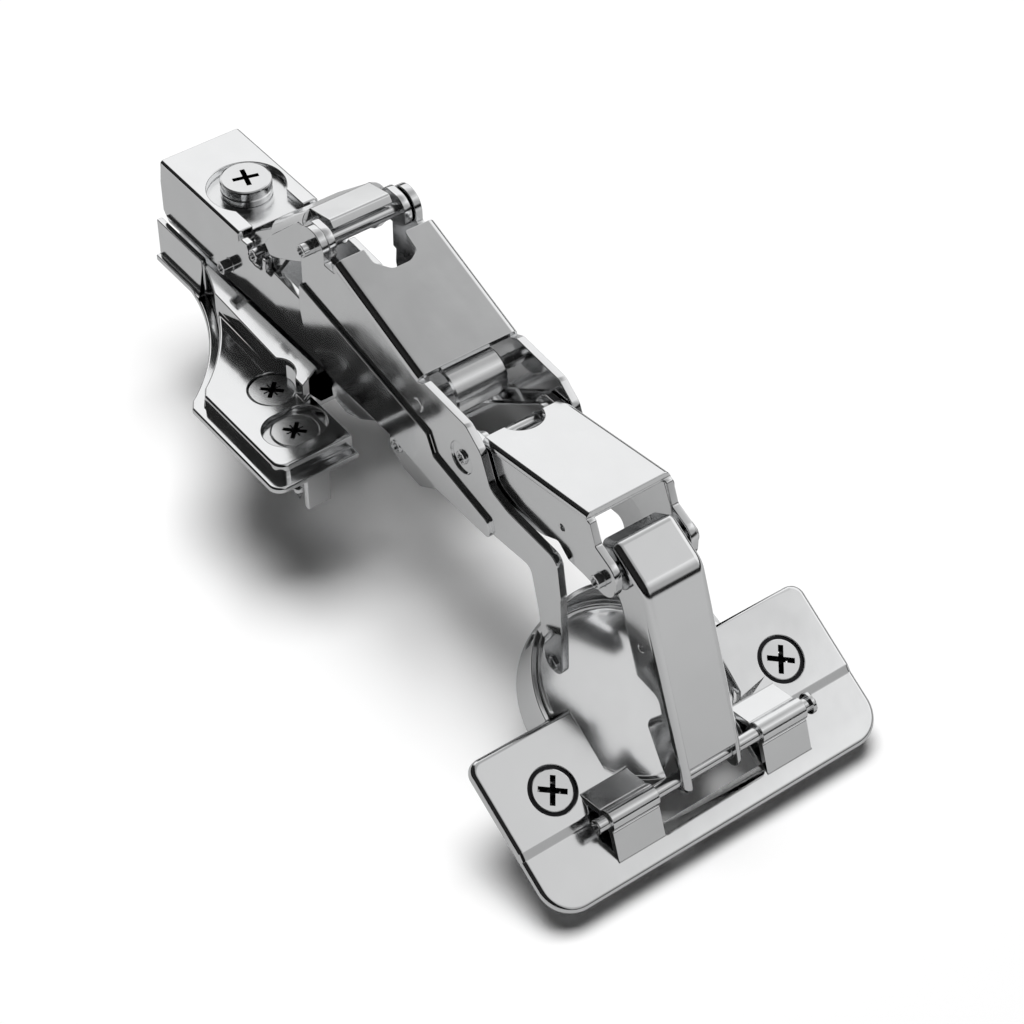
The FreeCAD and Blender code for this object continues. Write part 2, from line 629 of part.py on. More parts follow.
def make_rear_link():
    """Folded link that ties the outer lever to the arm."""
    px, pz = BRIDGE_PIVOT
    rx, rz = REAR_PIVOT
    inner = REAR_LINK_HALF - LINK_SHEET
    ear = 3.3
    cheek = [
        (36.9 + 1.2, 8.6 - 1.8, 0.5), (rx + 15.0, 15.0, 0.5), (px - 4.6, pz + 0.6, 1),
        (px - 3.2, pz + 3.1, 2.4), (px + 3.2, pz + 3.1, 3.1), (px + 3.2, pz - 3.2, 3.1),
        (px - 2.6, pz - 3.3, 1), (47.3, 6.7, 1.5), (43.4, 4.5, 2), (39.4, 2.5, 1),
        (37.0, 1.6, 0.5), (35.4, 3.4, 0.5),
    ]
    cheeks = both_sides(side_plate(cheek, inner, REAR_LINK_HALF))
    leg_inner = NARROW_LEG_HALF - LINK_SHEET
    leg = [
        (rx - 2.2, rz + 3.0, 2), (36.4, 6.4, 2), (39.0, 8.2, 1), (42.4, 6.0, 1),
        (39.8, 1.6, 1), (rx + 3.4, rz - 3.3, 3), (rx - 3.2, rz - 3.3, 3),
    ]
    legs = both_sides(side_plate(leg, leg_inner, inner + 0.01))
    roof = folded_roof(*REAR_ROOF, REAR_LINK_HALF, LINK_SHEET, LINK_BEND + 0.9, 0.8)
    bridge = [
        (46.6, 15.9), (47.35, 17.3, 0.8), (px - 0.3, pz + 3.56, 0.8), (px + 0.8, pz + 2.3),
        (px - 0.4, pz + 1.9), (px - 0.9, pz + 2.3, 0.4), (48.0, 15.9),
    ]
    bridge_plate = side_plate(bridge, -BRIDGE_HALF, BRIDGE_HALF)
    link = fuse(cheeks + legs + [roof, bridge_plate])
    link = link.cut(cross_bar(BRIDGE_PIVOT, PIN_RADIUS + RUNNING, -THROUGH, THROUGH))
    link = link.cut(cross_bar(REAR_PIVOT, PIN_RADIUS, -THROUGH, THROUGH))
    return link


def make_rear_pin():
    return riveted_pin(REAR_PIVOT, PIN_RADIUS, ARM_HALF + 0.4, ARM_HALF + 0.4, PIN_RADIUS, 0.5)


def make_inner_lever():
    """Folded lever from the arm's nose to the knee, under the outer lever."""
    nx, nz = NOSE_PIVOT
    cx, cz = CENTRE_PIVOT
    kx, kz = KNEE_PIVOT
    half = INNER_LEVER_HALF
    inner = half - LEVER_SHEET
    roof = folded_roof(*INNER_ROOF, half, LEVER_SHEET, INNER_BEND, 0.8)
    side = [
        (cx - 4.2, cz - 1.0, 2), (cx - 0.6, cz + 4.6, 2), (99.6, 3.0), (127.2, 7.1),
        (127.9, 6.9, 0.5), (kx - 1.7, kz + 5.7, 0.6), (kx + 3.6, kz + 3.4, 3.2),
        (kx + 3.6, kz - 3.4, 3.2), (126.9, -5.2, 1), (122.8, -5.1, 1), (120.1, -3.0, 1),
        (116.2, -4.8, 1), (108.0, -6.6, 3), (cx - 2.0, cz - 7.0, 3),
    ]
    sides = both_sides(side_plate(side, inner, half))
    leg_inner = NARROW_LEG_HALF - LEVER_SHEET
    leg = [
        (nx - 3.4, nz + 3.2, 3), (nx + 4.0, nz + 5.2, 4), (cx - 5.0, cz - 0.2, 3),
        (cx + 1.0, cz + 4.2, 1.5), (cx + 3.5, cz + 2.5, 1.5), (cx + 3.2, cz - 6.0, 2),
        (nx + 5.8, nz - 2.0, 4),
        (nx - 1.4, nz - 3.5, 3),
    ]
    legs = both_sides(side_plate(leg, leg_inner, inner + 0.01))
    lever = fuse(sides + legs + [roof])
    notch = Part.makeCylinder(3.8, 6, vector(99.2, 0, 1.5))
    lever = lever.cut(notch)
    lever = lever.cut(cross_bar(NOSE_PIVOT, PIN_RADIUS + RUNNING, -THROUGH, THROUGH))
    lever = lever.cut(cross_bar(CENTRE_PIVOT, PIN_RADIUS + RUNNING, -THROUGH, THROUGH))
    lever = lever.cut(cross_bar(KNEE_PIVOT, PIN_RADIUS, -THROUGH, THROUGH))
    lever = lever.cut(cross_bar(INNER_HOLE, 0.6, -THROUGH, THROUGH))
    return lever


def foot_place():
    """The foot axle, seated in the cup, in side-view coordinates."""
    return flange_point(-FOOT_BEHIND, -FOOT_DEPTH)


def flange_point(ahead, above):
    """Side-view place of a point given along and above the cup's flange."""
    tilt = math.radians(FLANGE_TILT)
    x = FLANGE_AT[0] + ahead * math.cos(tilt) + above * math.sin(tilt)
    z = FLANGE_AT[1] - ahead * math.sin(tilt) + above * math.cos(tilt)
    return (x, z)


def make_outer_lever():
    """Wide folded lever with a joggled skirt, and feet that reach into the cup."""
    px, pz = BRIDGE_PIVOT
    fx, fz = foot_place()
    half = OUTER_LEVER_HALF
    inner = half - LEVER_SHEET
    roof = folded_roof(*OUTER_ROOF, half, LEVER_SHEET, LEVER_BEND, 0.8)
    upper = [
        (px - 3.7, 4.0), (px - 3.6, pz + 3.6, 3.5), (px + 3.6, pz + 3.6, 3.5),
        (px + 3.7, pz - 1.6, 0.4), (60.6, 13.6, 0.4), (61.4, 14.6), (84.4, 6.3), (86.2, 7.2, 0.6),
        (97.7, 6.3, 2), (101.6, 3.4, 3), (104.3, -2.8, 3), (109.2, -4.2, 3.5), (121.9, -4.9, 2.2),
        (123.2, -12.8, 8), (fx + 1.9, fz + 6.0, 2), (fx + 2.2, fz - 2.2, 2.1),
        (fx - 2.2, fz - 2.2, 2.1), (117.4, -19.5, 6), (115.2, -11.7, 1.8), (105.2, -12.4, 1),
        (103.2, -10.5, 1), (89.4, -7.4, 1.5), (87.0, -3.6, 1.5),
    ]
    lower = [
        (px - 3.7, 4.8), (87.3, -2.5, 1), (89.2, -6.3, 1), (104.1, -9.7, 1), (105.3, -13.2, 1),
        (90.2, -13.2, 3), (76.9, -10.7, 3), (57.5, -10.3, 3), (px - 3.0, -5.4, 3),
        (px - 4.1, 0, 2),
    ]
    upper_plates = both_sides(side_plate(upper, inner, half))
    skirt = side_plate(lower, inner + JOGGLE, half + JOGGLE)
    skirts = both_sides(skirt)
    lever = fuse(upper_plates + skirts + [roof])
    bay = flat_plate([(55, -4.4), (63.8, -4.3, 1), (66.1, -2.0, 2), (66.1, 1.5, 2), (65.0, 3.6, 1.2),
                      (61.5, 3.8, 0.6), (60.6, 4.6, 0.4), (55, 5.0)], 10, 20)
    lever = lever.cut(bay)
    recess = cross_bar(CENTRE_PIVOT, CENTRE_RECESS, half - CENTRE_RECESS_DEPTH, half + 1)
    for side_recess in both_sides(recess):
        lever = lever.cut(side_recess)
    for at in (BRIDGE_PIVOT, CENTRE_PIVOT, ROLLER_AT):
        lever = lever.cut(cross_bar(at, PIN_RADIUS, -THROUGH, THROUGH))
    lever = lever.cut(cross_bar(foot_place(), AXLE_RADIUS, -THROUGH, THROUGH))
    return lever


def make_bridge_pin():
    end = OUTER_LEVER_HALF + 2.2
    return riveted_pin(BRIDGE_PIVOT, PIN_RADIUS, end, OUTER_LEVER_HALF + 0.8, PIN_RADIUS + 0.9, 0.8)


def make_centre_pin():
    floor = OUTER_LEVER_HALF - CENTRE_RECESS_DEPTH
    return riveted_pin(CENTRE_PIVOT, PIN_RADIUS, floor + 0.5, floor + 0.7, PIN_RADIUS + 0.9, 0.7)


def make_foot_axle():
    """Two short stubs, one in each foot of the outer lever."""
    stub = cross_bar(foot_place(), AXLE_RADIUS, OUTER_LEVER_HALF - LEVER_SHEET - 0.3,
                     OUTER_LEVER_HALF + 0.5)
    return Part.makeCompound(both_sides(stub))


def make_roller_pin():
    end = OUTER_LEVER_HALF + 0.2
    return cross_bar(ROLLER_AT, PIN_RADIUS, -end, end)


def make_cam_roller():
    roller = cross_bar(ROLLER_AT, ROLLER_RADIUS, -ROLLER_HALF, ROLLER_HALF)
    return roller.cut(cross_bar(ROLLER_AT, PIN_RADIUS + RUNNING, -ROLLER_HALF, ROLLER_HALF))


def make_knee_pin():
    end = INNER_LEVER_HALF + 1.3
    return riveted_pin(KNEE_PIVOT, PIN_RADIUS, end, INNER_LEVER_HALF + 1.6, PIN_RADIUS + 0.7, 1.4)


def make_front_link():
    """Folded link from the knee down to the cup, hooked over the knee pin."""
    kx, kz = KNEE_PIVOT
    qx, qz = flange_point(KNUCKLE_AHEAD, KNUCKLE_RISE)
    half = FRONT_LINK_HALF
    roof = list(FRONT_ROOF)
    rest = [
        (qx + 2.9, qz - 0.6, 1.6), (qx + 1.9, qz - 2.6, 1.8), (qx - 2.7, qz - 2.6, 2.5),
        (144.6, -36.4, 0.8), (140.3, -29.4, 1.2), (144.0, -24.8, 1.2), (143.0, -21.7, 1.2),
        (137.5, -21.1, 1.2), (132.2, -6.8, 2.5), (kx - 3.3, kz - 3.4, 3), (kx - 3.3, kz + 1.4, 1),
    ]
    link = folded_hood(roof, rest, half, LINK_SHEET, LINK_BEND, (-16, -6))
    link = link.cut(cross_bar(KNEE_PIVOT, PIN_RADIUS + RUNNING, -THROUGH, THROUGH))
    link = link.cut(cross_bar((qx, qz), PIN_RADIUS + RUNNING, -THROUGH, THROUGH))
    link = link.cut(cross_bar(FRONT_HOLE, 0.7, -THROUGH, THROUGH))
    return link.cut(beyond_roof(roof[-2], roof[-1], half - LINK_SHEET))


def beyond_roof(before, end, half_width):
    """Room past the roof's last edge, so that only the side ears go on."""
    along = vector(end[0] - before[0], end[1] - before[1], 0).normalize()
    across = vector(-along.y, along.x, 0) * 8
    edge = vector(end[0], end[1], 0)
    corners = []
    for point in (edge + across, edge - across, edge - across + along * 14,
                  edge + across + along * 14):
        corners.append((point.x, point.y))
    return side_plate(corners, -half_width, half_width)


def on_flange(shape):
    """Move a piece that was drawn level, with its origin at the cup screws' line."""
    turn = FreeCAD.Rotation(vector(0, 1, 0), FLANGE_TILT)
    shape.Placement = FreeCAD.Placement(vector(FLANGE_AT[0], 0, FLANGE_AT[1]), turn)
    return shape.copy()


def make_cup():
    """Drawn cup with its flange, mouth, slot and rolled knuckles, one pressing."""
    flange = flat_plate([
        (-FLANGE_BACK, -FLANGE_HALF, 2.5), (FLANGE_FRONT, -FLANGE_HALF, FLANGE_CORNER),
        (FLANGE_FRONT, FLANGE_HALF, FLANGE_CORNER), (-FLANGE_BACK, FLANGE_HALF, 2.5),
    ], -FLANGE_SHEET, 0)
    centre = vector(-CUP_BEHIND, 0, 0)
    bottom = -FLANGE_SHEET - CUP_DEPTH
    shell = Part.makeCylinder(CUP_RADIUS, -bottom - 0.4, centre + vector(0, 0, bottom))
    edges = []
    for edge in shell.Edges:
        if edge.BoundBox.ZMax < bottom + 0.01:
            edges.append(edge)
    shell = shell.makeFillet(2.5, edges)
    lip = Part.makeCylinder(CUP_RADIUS + CUP_LIP, CUP_SHEET, centre + vector(0, 0, -FLANGE_SHEET))
    body = flange.fuse(shell).fuse(lip)
    inner_bottom = bottom + CUP_SHEET
    room = Part.makeCylinder(CUP_RADIUS - CUP_SHEET, -inner_bottom + 1,
                             centre + vector(0, 0, inner_bottom))
    edges = []
    for edge in room.Edges:
        if edge.BoundBox.ZMax < inner_bottom + 0.01:
            edges.append(edge)
    room = room.makeFillet(1.8, edges)
    under = room.common(block(-40, 10, -20, 20, inner_bottom - 1, -FLANGE_SHEET))
    behind = room.common(block(-40, -FLANGE_BACK, -20, 20, -FLANGE_SHEET - 0.01, 2))
    body = body.cut(under).cut(behind)
    mouth = flat_plate([
        (-FLANGE_BACK - 3, -MOUTH_HALF), (MOUTH_FRONT, -MOUTH_HALF, 0.5),
        (MOUTH_FRONT + 1.1, -MOUTH_HALF + 0.8), (MOUTH_FRONT + 1.1, -SLOT_HALF),
        (SLOT_FRONT, -SLOT_HALF, 1.2), (SLOT_FRONT, SLOT_HALF, 1.2),
        (MOUTH_FRONT + 1.1, SLOT_HALF), (MOUTH_FRONT + 1.1, MOUTH_HALF - 0.8),
        (MOUTH_FRONT, MOUTH_HALF, 0.5), (-FLANGE_BACK - 3, MOUTH_HALF),
    ], -FLANGE_SHEET - 0.01, 2)
    mouth = mouth.common(block(-FLANGE_BACK - 3, SLOT_FRONT, -20, 20, -FLANGE_SHEET - 0.01, 2))
    body = body.cut(mouth)
    for side in (-1, 1):
        wide = CUP_SCREW_HEAD + RUNNING
        seat = countersink(wide, CUP_SCREW_SHANK + RUNNING, FLANGE_SHEET - SCREW_SINK)
        seat.translate(vector(0, side * CUP_SCREW_SPACING / 2, -SCREW_SINK))
        body = body.cut(seat)
        inner = side * (OUTER_LEVER_HALF - LEVER_SHEET - FOOT_ROOM)
        outer = side * (OUTER_LEVER_HALF + FOOT_ROOM + 0.5)
        slot = block(-CUP_BEHIND - CUP_RADIUS - 2, -CUP_BEHIND - 8, min(inner, outer),
                     max(inner, outer), -FOOT_SLOT_DEPTH, 2)
        body = body.cut(slot)
    body = body.cut(block(-CUP_BEHIND - CUP_RADIUS - 2, -CUP_BEHIND - 8, -OUTER_LEVER_HALF,
                          OUTER_LEVER_HALF, -BACK_NOTCH_DEPTH, 2))
    body = body.cut(side_plate([
        (CREASE[0], 0), (CREASE[1], -CREASE_DROP), (FLANGE_FRONT + 1, -CREASE_DROP),
        (FLANGE_FRONT + 1, 1), (CREASE[0], 1),
    ], -FLANGE_HALF - 1, FLANGE_HALF + 1))
    knuckle = Part.makeCylinder(KNUCKLE_RADIUS, KNUCKLE_TO - KNUCKLE_FROM,
                                vector(KNUCKLE_AHEAD, KNUCKLE_FROM, KNUCKLE_RISE),
                                vector(0, 1, 0))
    shoulder = KNUCKLE_RISE - 0.2
    crown = shoulder - 0.9
    low = -CREASE_DROP - 0.4
    tent = [
        (KNUCKLE_BASE[0], -0.2), (KNUCKLE_AHEAD - KNUCKLE_SHOULDER, shoulder, 0.5),
        (KNUCKLE_AHEAD + KNUCKLE_SHOULDER, shoulder, 0.5), (KNUCKLE_BASE[1], low + 0.2),
        (KNUCKLE_BASE[1] - 1.0, low), (KNUCKLE_BASE[1] - 1.7, low),
        (KNUCKLE_AHEAD + 1.4, crown), (KNUCKLE_AHEAD - 1.4, crown),
        (KNUCKLE_BASE[0] + 1.2, low), (KNUCKLE_BASE[0] + 0.4, low),
    ]
    knuckle = knuckle.fuse(side_plate(tent, KNUCKLE_FROM, KNUCKLE_TO))
    body = fuse([body] + both_sides(knuckle))
    bore = cross_bar((KNUCKLE_AHEAD, KNUCKLE_RISE), PIN_RADIUS, -30, 30)
    return on_flange(body.cut(bore))


def make_cup_pin():
    at = flange_point(KNUCKLE_AHEAD, KNUCKLE_RISE)
    return riveted_pin(at, PIN_RADIUS, CUP_PIN_LEFT, CUP_PIN_RIGHT, PIN_RADIUS + 0.7, 0.8)


def make_cup_screws():
    screws = []
    for side in (-1, 1):
        screws.append(countersunk_screw(0, side * CUP_SCREW_SPACING / 2, -SCREW_SINK,
                                        CUP_SCREW_HEAD, CUP_SCREW_SHANK,
                                        FLANGE_SHEET - SCREW_SINK, CUP_SCREW_REACH))
    return on_flange(Part.makeCompound(screws))


PIECES = {
    "mounting_plate": make_mounting_plate,
    "clamp_straps": make_clamp_straps,
    "panel_screws": make_panel_screws,
    "arm_carrier": make_carrier,
    "carrier_rivets": make_carrier_rivets,
    "hinge_arm": make_arm,
    "slide_plate": make_slide_plate,
    "arm_rivet": make_arm_rivet,
    "nose_pin": make_nose_pin,
    "fixing_screw": make_fixing_screw,
    "screw_washer": make_washer,
    "rear_link": make_rear_link,
    "rear_pin": make_rear_pin,
    "inner_lever": make_inner_lever,
    "knee_pin": make_knee_pin,
    "outer_lever": make_outer_lever,
    "bridge_pin": make_bridge_pin,
    "centre_pin": make_centre_pin,
    "foot_axle": make_foot_axle,
    "roller_pin": make_roller_pin,
    "cam_roller": make_cam_roller,
    "front_link": make_front_link,
    "hinge_cup": make_cup,
    "cup_pin": make_cup_pin,
    "cup_screws": make_cup_screws,
}


def main():
    os.makedirs("parts", exist_ok=True)
    for name, make in PIECES.items():
        shape = make()
        shape.translate(vector(-PANEL_SCREW_X, 0, -PLATE_BOTTOM))
        shape.exportStep("parts/" + name + ".step")
        print(name, len(shape.Solids), "solids", round(shape.Volume, 1), "mm3", shape.isValid())


main()
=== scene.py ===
# %% [markdown]
# # A seven-pin cabinet door hinge in bright nickel
#
# The hinge holds a lazy susan door: a long arm clips over a winged plate, and
# a scissor of folded levers carries a drawn cup. The CAD frame already holds
# every piece at its true size, so this lesson only dresses it. Folded sheets
# get softened edges, turned pieces are made again on a lathe of our own, and
# a studio is set up that gives polished metal something to reflect.

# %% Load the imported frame
import json
import math

import bmesh
import bpy
from mathutils import Matrix, Vector
from mathutils.bvhtree import BVHTree

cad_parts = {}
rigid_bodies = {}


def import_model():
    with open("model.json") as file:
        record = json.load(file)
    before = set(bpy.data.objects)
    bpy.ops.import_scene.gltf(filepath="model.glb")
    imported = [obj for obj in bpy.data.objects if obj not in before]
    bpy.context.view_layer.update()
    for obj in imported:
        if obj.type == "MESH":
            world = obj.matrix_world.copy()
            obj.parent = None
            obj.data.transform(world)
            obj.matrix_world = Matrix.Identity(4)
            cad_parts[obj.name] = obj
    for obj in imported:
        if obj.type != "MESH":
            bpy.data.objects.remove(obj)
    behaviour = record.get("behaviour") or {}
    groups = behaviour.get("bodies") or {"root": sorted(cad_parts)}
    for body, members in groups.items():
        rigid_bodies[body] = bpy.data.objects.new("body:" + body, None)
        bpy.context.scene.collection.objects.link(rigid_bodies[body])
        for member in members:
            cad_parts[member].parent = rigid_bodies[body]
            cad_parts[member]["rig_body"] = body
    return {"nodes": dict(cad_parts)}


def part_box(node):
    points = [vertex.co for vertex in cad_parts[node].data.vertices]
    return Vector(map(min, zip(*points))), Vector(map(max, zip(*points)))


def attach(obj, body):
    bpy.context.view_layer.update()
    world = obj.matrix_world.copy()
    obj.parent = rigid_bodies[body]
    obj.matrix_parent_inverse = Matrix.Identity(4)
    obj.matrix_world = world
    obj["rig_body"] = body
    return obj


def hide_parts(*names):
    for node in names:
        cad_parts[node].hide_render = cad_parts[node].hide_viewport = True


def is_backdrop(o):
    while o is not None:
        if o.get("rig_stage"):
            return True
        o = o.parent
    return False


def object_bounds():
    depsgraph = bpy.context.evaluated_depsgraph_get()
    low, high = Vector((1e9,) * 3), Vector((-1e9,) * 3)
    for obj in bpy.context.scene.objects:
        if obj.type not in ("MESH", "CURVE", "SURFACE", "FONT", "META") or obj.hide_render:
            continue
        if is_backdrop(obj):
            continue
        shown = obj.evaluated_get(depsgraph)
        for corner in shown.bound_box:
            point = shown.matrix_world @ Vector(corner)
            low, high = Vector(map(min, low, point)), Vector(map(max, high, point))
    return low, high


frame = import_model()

MM = 0.001
cad_low, cad_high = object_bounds()
print("CAD box in mm:", [round((b - a) / MM, 1) for a, b in zip(cad_low, cad_high)])

# %% [markdown]
# ## Camera
#
# A product photograph is taken from a distance with a long lens, so that the
# near end of the hinge doesn't swell. The camera is set by where it stands
# and by three plain angles. That keeps it readable, and it needs no target.

# %% Stand the camera where the photographer stood
CAMERA_PLACE = Vector((323.65, -202.86, 331.25)) * MM
CAMERA_AZIMUTH = math.radians(53.50)
CAMERA_ELEVATION = math.radians(43.92)
CAMERA_ROLL = math.radians(-0.16)
LENS_MM = 98.44
SENSOR_MM = 36.0
NEAREST_SEEN = 10.0 * MM


def placed(name, data):
    """A new object with this data, put into the scene."""
    item = bpy.data.objects.new(name, data)
    bpy.context.scene.collection.objects.link(item)
    return item


camera_data = bpy.data.cameras.new("product_camera")
camera_data.lens = LENS_MM
camera_data.sensor_width = SENSOR_MM
camera_data.clip_start = NEAREST_SEEN
camera = placed("product_camera", camera_data)
turn = (Matrix.Rotation(CAMERA_AZIMUTH, 4, "Z")
        @ Matrix.Rotation(math.pi / 2 - CAMERA_ELEVATION, 4, "X")
        @ Matrix.Rotation(CAMERA_ROLL, 4, "Z"))
camera.matrix_world = Matrix.Translation(CAMERA_PLACE) @ turn
bpy.context.scene.camera = camera
bpy.context.scene.view_settings.view_transform = "Standard"
print("camera stands", round(CAMERA_PLACE.length / MM), "mm from the middle of the screws")

# %% [markdown]
# ## What the metal reflects
#
# A mirror has no colour of its own: it shows the room. A studio for chrome is
# a white tent with a few dark cards, and the cards draw the black lines along
# each bend. The same tent can be painted on the world, as grey levels that
# depend on how high one looks. Each level is a pair: how high, as a sine, and
# how grey. The tent is open towards the side that the photographer's left
# shows, so it is dark there, and it is a little dimmer towards the front.

# %% Choose the tent's grey levels
TENT = [
    (-1.00, 0.30),
    (-0.02, 0.20),
    (0.00, 0.03),
    (0.20, 0.03),
    (0.27, 0.95),
    (0.31, 1.00),
    (0.75, 1.00),
    (0.775, 0.72),
    (0.845, 0.70),
    (0.862, 0.56),
    (0.90, 0.43),
    (1.00, 0.38),
]
DARK_SIDE = (-0.16, -0.02)
DARK_LEVEL = 0.02
DIM_FRONT = (0.45, 0.75)
DIM_LEVEL = 0.42
print("tent levels:", len(TENT))

# %% [markdown]
# ## The tent on the world
#
# The world's shader knows which way each ray goes. The ray's height picks a
# grey from a ramp, its Y darkens one side, and its X dims the front. Side and
# front are multiplied, and the product sets how strongly the tent glows.

# %% Paint the tent on the world
def map_range(nodes, start, end, low, high):
    """A node that turns values from start to end into values from low to high."""
    node = nodes.new("ShaderNodeMapRange")
    node.inputs["From Min"].default_value = start
    node.inputs["From Max"].default_value = end
    node.inputs["To Min"].default_value = low
    node.inputs["To Max"].default_value = high
    return node


world = bpy.data.worlds.new("white_tent")
bpy.context.scene.world = world
world.use_nodes = True
tent_nodes = world.node_tree.nodes
tent_links = world.node_tree.links
tent_nodes.clear()
direction = tent_nodes.new("ShaderNodeTexCoord")
axes = tent_nodes.new("ShaderNodeSeparateXYZ")
to_share = map_range(tent_nodes, -1.0, 1.0, 0.0, 1.0)
ramp = tent_nodes.new("ShaderNodeValToRGB")
ramp.color_ramp.elements.remove(ramp.color_ramp.elements[0])
ramp.color_ramp.elements[0].position = 0.0
ramp.color_ramp.elements[0].color = (TENT[0][1],) * 3 + (1,)
for sine, grey in TENT[1:]:
    stop = ramp.color_ramp.elements.new((sine + 1) / 2)
    stop.color = (grey,) * 3 + (1,)
side = map_range(tent_nodes, *DARK_SIDE, DARK_LEVEL, 1.0)
front = map_range(tent_nodes, *DIM_FRONT, 1.0, DIM_LEVEL)
both = tent_nodes.new("ShaderNodeMath")
both.operation = "MULTIPLY"
reflected = tent_nodes.new("ShaderNodeBackground")
tent_links.new(direction.outputs["Generated"], axes.inputs[0])
tent_links.new(axes.outputs["Z"], to_share.inputs["Value"])
tent_links.new(to_share.outputs["Result"], ramp.inputs["Fac"])
tent_links.new(ramp.outputs["Color"], reflected.inputs["Color"])
tent_links.new(axes.outputs["Y"], side.inputs["Value"])
tent_links.new(axes.outputs["X"], front.inputs["Value"])
tent_links.new(side.outputs["Result"], both.inputs[0])
tent_links.new(front.outputs["Result"], both.inputs[1])
tent_links.new(both.outputs["Value"], reflected.inputs["Strength"])
print("ramp stops:", len(ramp.color_ramp.elements))

# %% [markdown]
# ## Who sees the tent
#
# The shader also knows what kind of ray asks. The camera sees plain white, and
# a ray that bounced off metal sees the tent. Any other ray gets only a faint
# fill, and so does one that went by way of the table first. The metal then
# throws none of the tent's light on to the table, and shadows stay deep.

# %% Show each kind of ray its own light
TENT_FILL = 0.05

path = tent_nodes.new("ShaderNodeLightPath")
mirror_only = tent_nodes.new("ShaderNodeMath")
mirror_only.operation = "SUBTRACT"
mirror_only.use_clamp = True
seen = tent_nodes.new("ShaderNodeBackground")
seen.inputs["Color"].default_value = (1, 1, 1, 1)
fill = tent_nodes.new("ShaderNodeBackground")
fill.inputs["Strength"].default_value = TENT_FILL
not_mirrored = tent_nodes.new("ShaderNodeMixShader")
not_seen = tent_nodes.new("ShaderNodeMixShader")
surface = tent_nodes.new("ShaderNodeOutputWorld")
tent_links.new(path.outputs["Is Glossy Ray"], mirror_only.inputs[0])
tent_links.new(path.outputs["Diffuse Depth"], mirror_only.inputs[1])
tent_links.new(mirror_only.outputs["Value"], not_mirrored.inputs["Fac"])
tent_links.new(fill.outputs[0], not_mirrored.inputs[1])
tent_links.new(reflected.outputs[0], not_mirrored.inputs[2])
tent_links.new(path.outputs["Is Camera Ray"], not_seen.inputs["Fac"])
tent_links.new(not_mirrored.outputs[0], not_seen.inputs[1])
tent_links.new(seen.outputs[0], not_seen.inputs[2])
tent_links.new(not_seen.outputs[0], surface.inputs["Surface"])
print("world nodes:", len(tent_nodes))

# %% [markdown]
# ## Table
#
# The table is pale and plain. The camera sees it white with the hinge's soft
# shadow on it. The metal sees it as a grey with painted shade: darker near the
# middle and lighter with distance, as if the hinge shaded its own surroundings.
# So the paint asks what kind of ray meets it, and how far from the middle. The
# studio is measured in metres.

# %% Lay the table
TABLE_HALF = 3.0
TABLE_WHITE = 0.97
# Painted shade seen in reflections: darker grey near the middle, lighter far out.
TABLE_NEAR = 0.44
TABLE_FAR = 0.60
TABLE_FROM = 0.13
TABLE_FADE = 0.30

table_mesh = bpy.data.meshes.new("table")
corners = [(-1, -1), (1, -1), (1, 1), (-1, 1)]
table_mesh.from_pydata([(x * TABLE_HALF, y * TABLE_HALF, cad_low.z) for x, y in corners],
                       [], [(0, 1, 2, 3)])
table = placed("table", table_mesh)
table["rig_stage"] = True

paint = bpy.data.materials.new("table_paint")
paint.use_nodes = True
table_mesh.materials.append(paint)
paint_nodes = paint.node_tree.nodes
paint_links = paint.node_tree.links
paint_nodes.clear()
spot = paint_nodes.new("ShaderNodeTexCoord")
reach = paint_nodes.new("ShaderNodeVectorMath")
reach.operation = "LENGTH"
painted_shade_fade = map_range(paint_nodes, TABLE_FROM, TABLE_FADE, TABLE_NEAR, TABLE_FAR)
ray = paint_nodes.new("ShaderNodeLightPath")
pick = paint_nodes.new("ShaderNodeMix")
pick.inputs["A"].default_value = TABLE_WHITE
matt = paint_nodes.new("ShaderNodeBsdfDiffuse")
painted = paint_nodes.new("ShaderNodeOutputMaterial")
paint_links.new(spot.outputs["Object"], reach.inputs[0])
paint_links.new(reach.outputs["Value"], painted_shade_fade.inputs["Value"])
paint_links.new(ray.outputs["Is Glossy Ray"], pick.inputs["Factor"])
paint_links.new(painted_shade_fade.outputs["Result"], pick.inputs["B"])
paint_links.new(pick.outputs["Result"], matt.inputs["Color"])
paint_links.new(matt.outputs[0], painted.inputs["Surface"])
print("table at", round(cad_low.z / MM, 1), "mm")

# %% [markdown]
# ## Lamp
#
# One large lamp hangs almost overhead and throws a soft shadow straight down.
# It is left out of reflections, because the tent already gives the metal its
# lights.

# %% Hang the lamp
LAMP_FROM = Vector((-0.07, 0.04, 1.20))
LAMP_SIZE = 0.80
LAMP_WATTS = 17.6

lamp_data = bpy.data.lights.new("softbox", "AREA")
lamp_data.size = LAMP_SIZE
lamp_data.energy = LAMP_WATTS
lamp = placed("softbox", lamp_data)
lamp.location = LAMP_FROM
lamp.rotation_euler = LAMP_FROM.to_track_quat("Z", "Y").to_euler()
lamp.visible_glossy = False
print("lamp of", LAMP_WATTS, "W")

# %% [markdown]
# ## Plated metal
#
# Nickel plate over pressed steel is bright, but never a perfect mirror. The
# sheet is a little wavy from the press, the polish leaves fine lines along
# the work, and the shine varies in soft clouds. Three noises on the piece's
# own coordinates give that: one in the roughness, two in the bump. The
# colour drifts with the clouds too, by a hair. A noise seldom leaves the middle
# of its range, so only that part of it is used.

# %% Make a recipe for plated metal
CLOUD_PER_M = 140.0
WAVE_PER_M = 260.0
WAVE_DETAIL = 1.0
LINE_STRETCH = (90.0, 2600.0, 2600.0)
WAVE_HEIGHT = 0.010 * MM
LINE_HEIGHT = 0.0012 * MM
NOISE_RANGE = (0.3, 0.7)
SHINE_DRIFT = 0.25


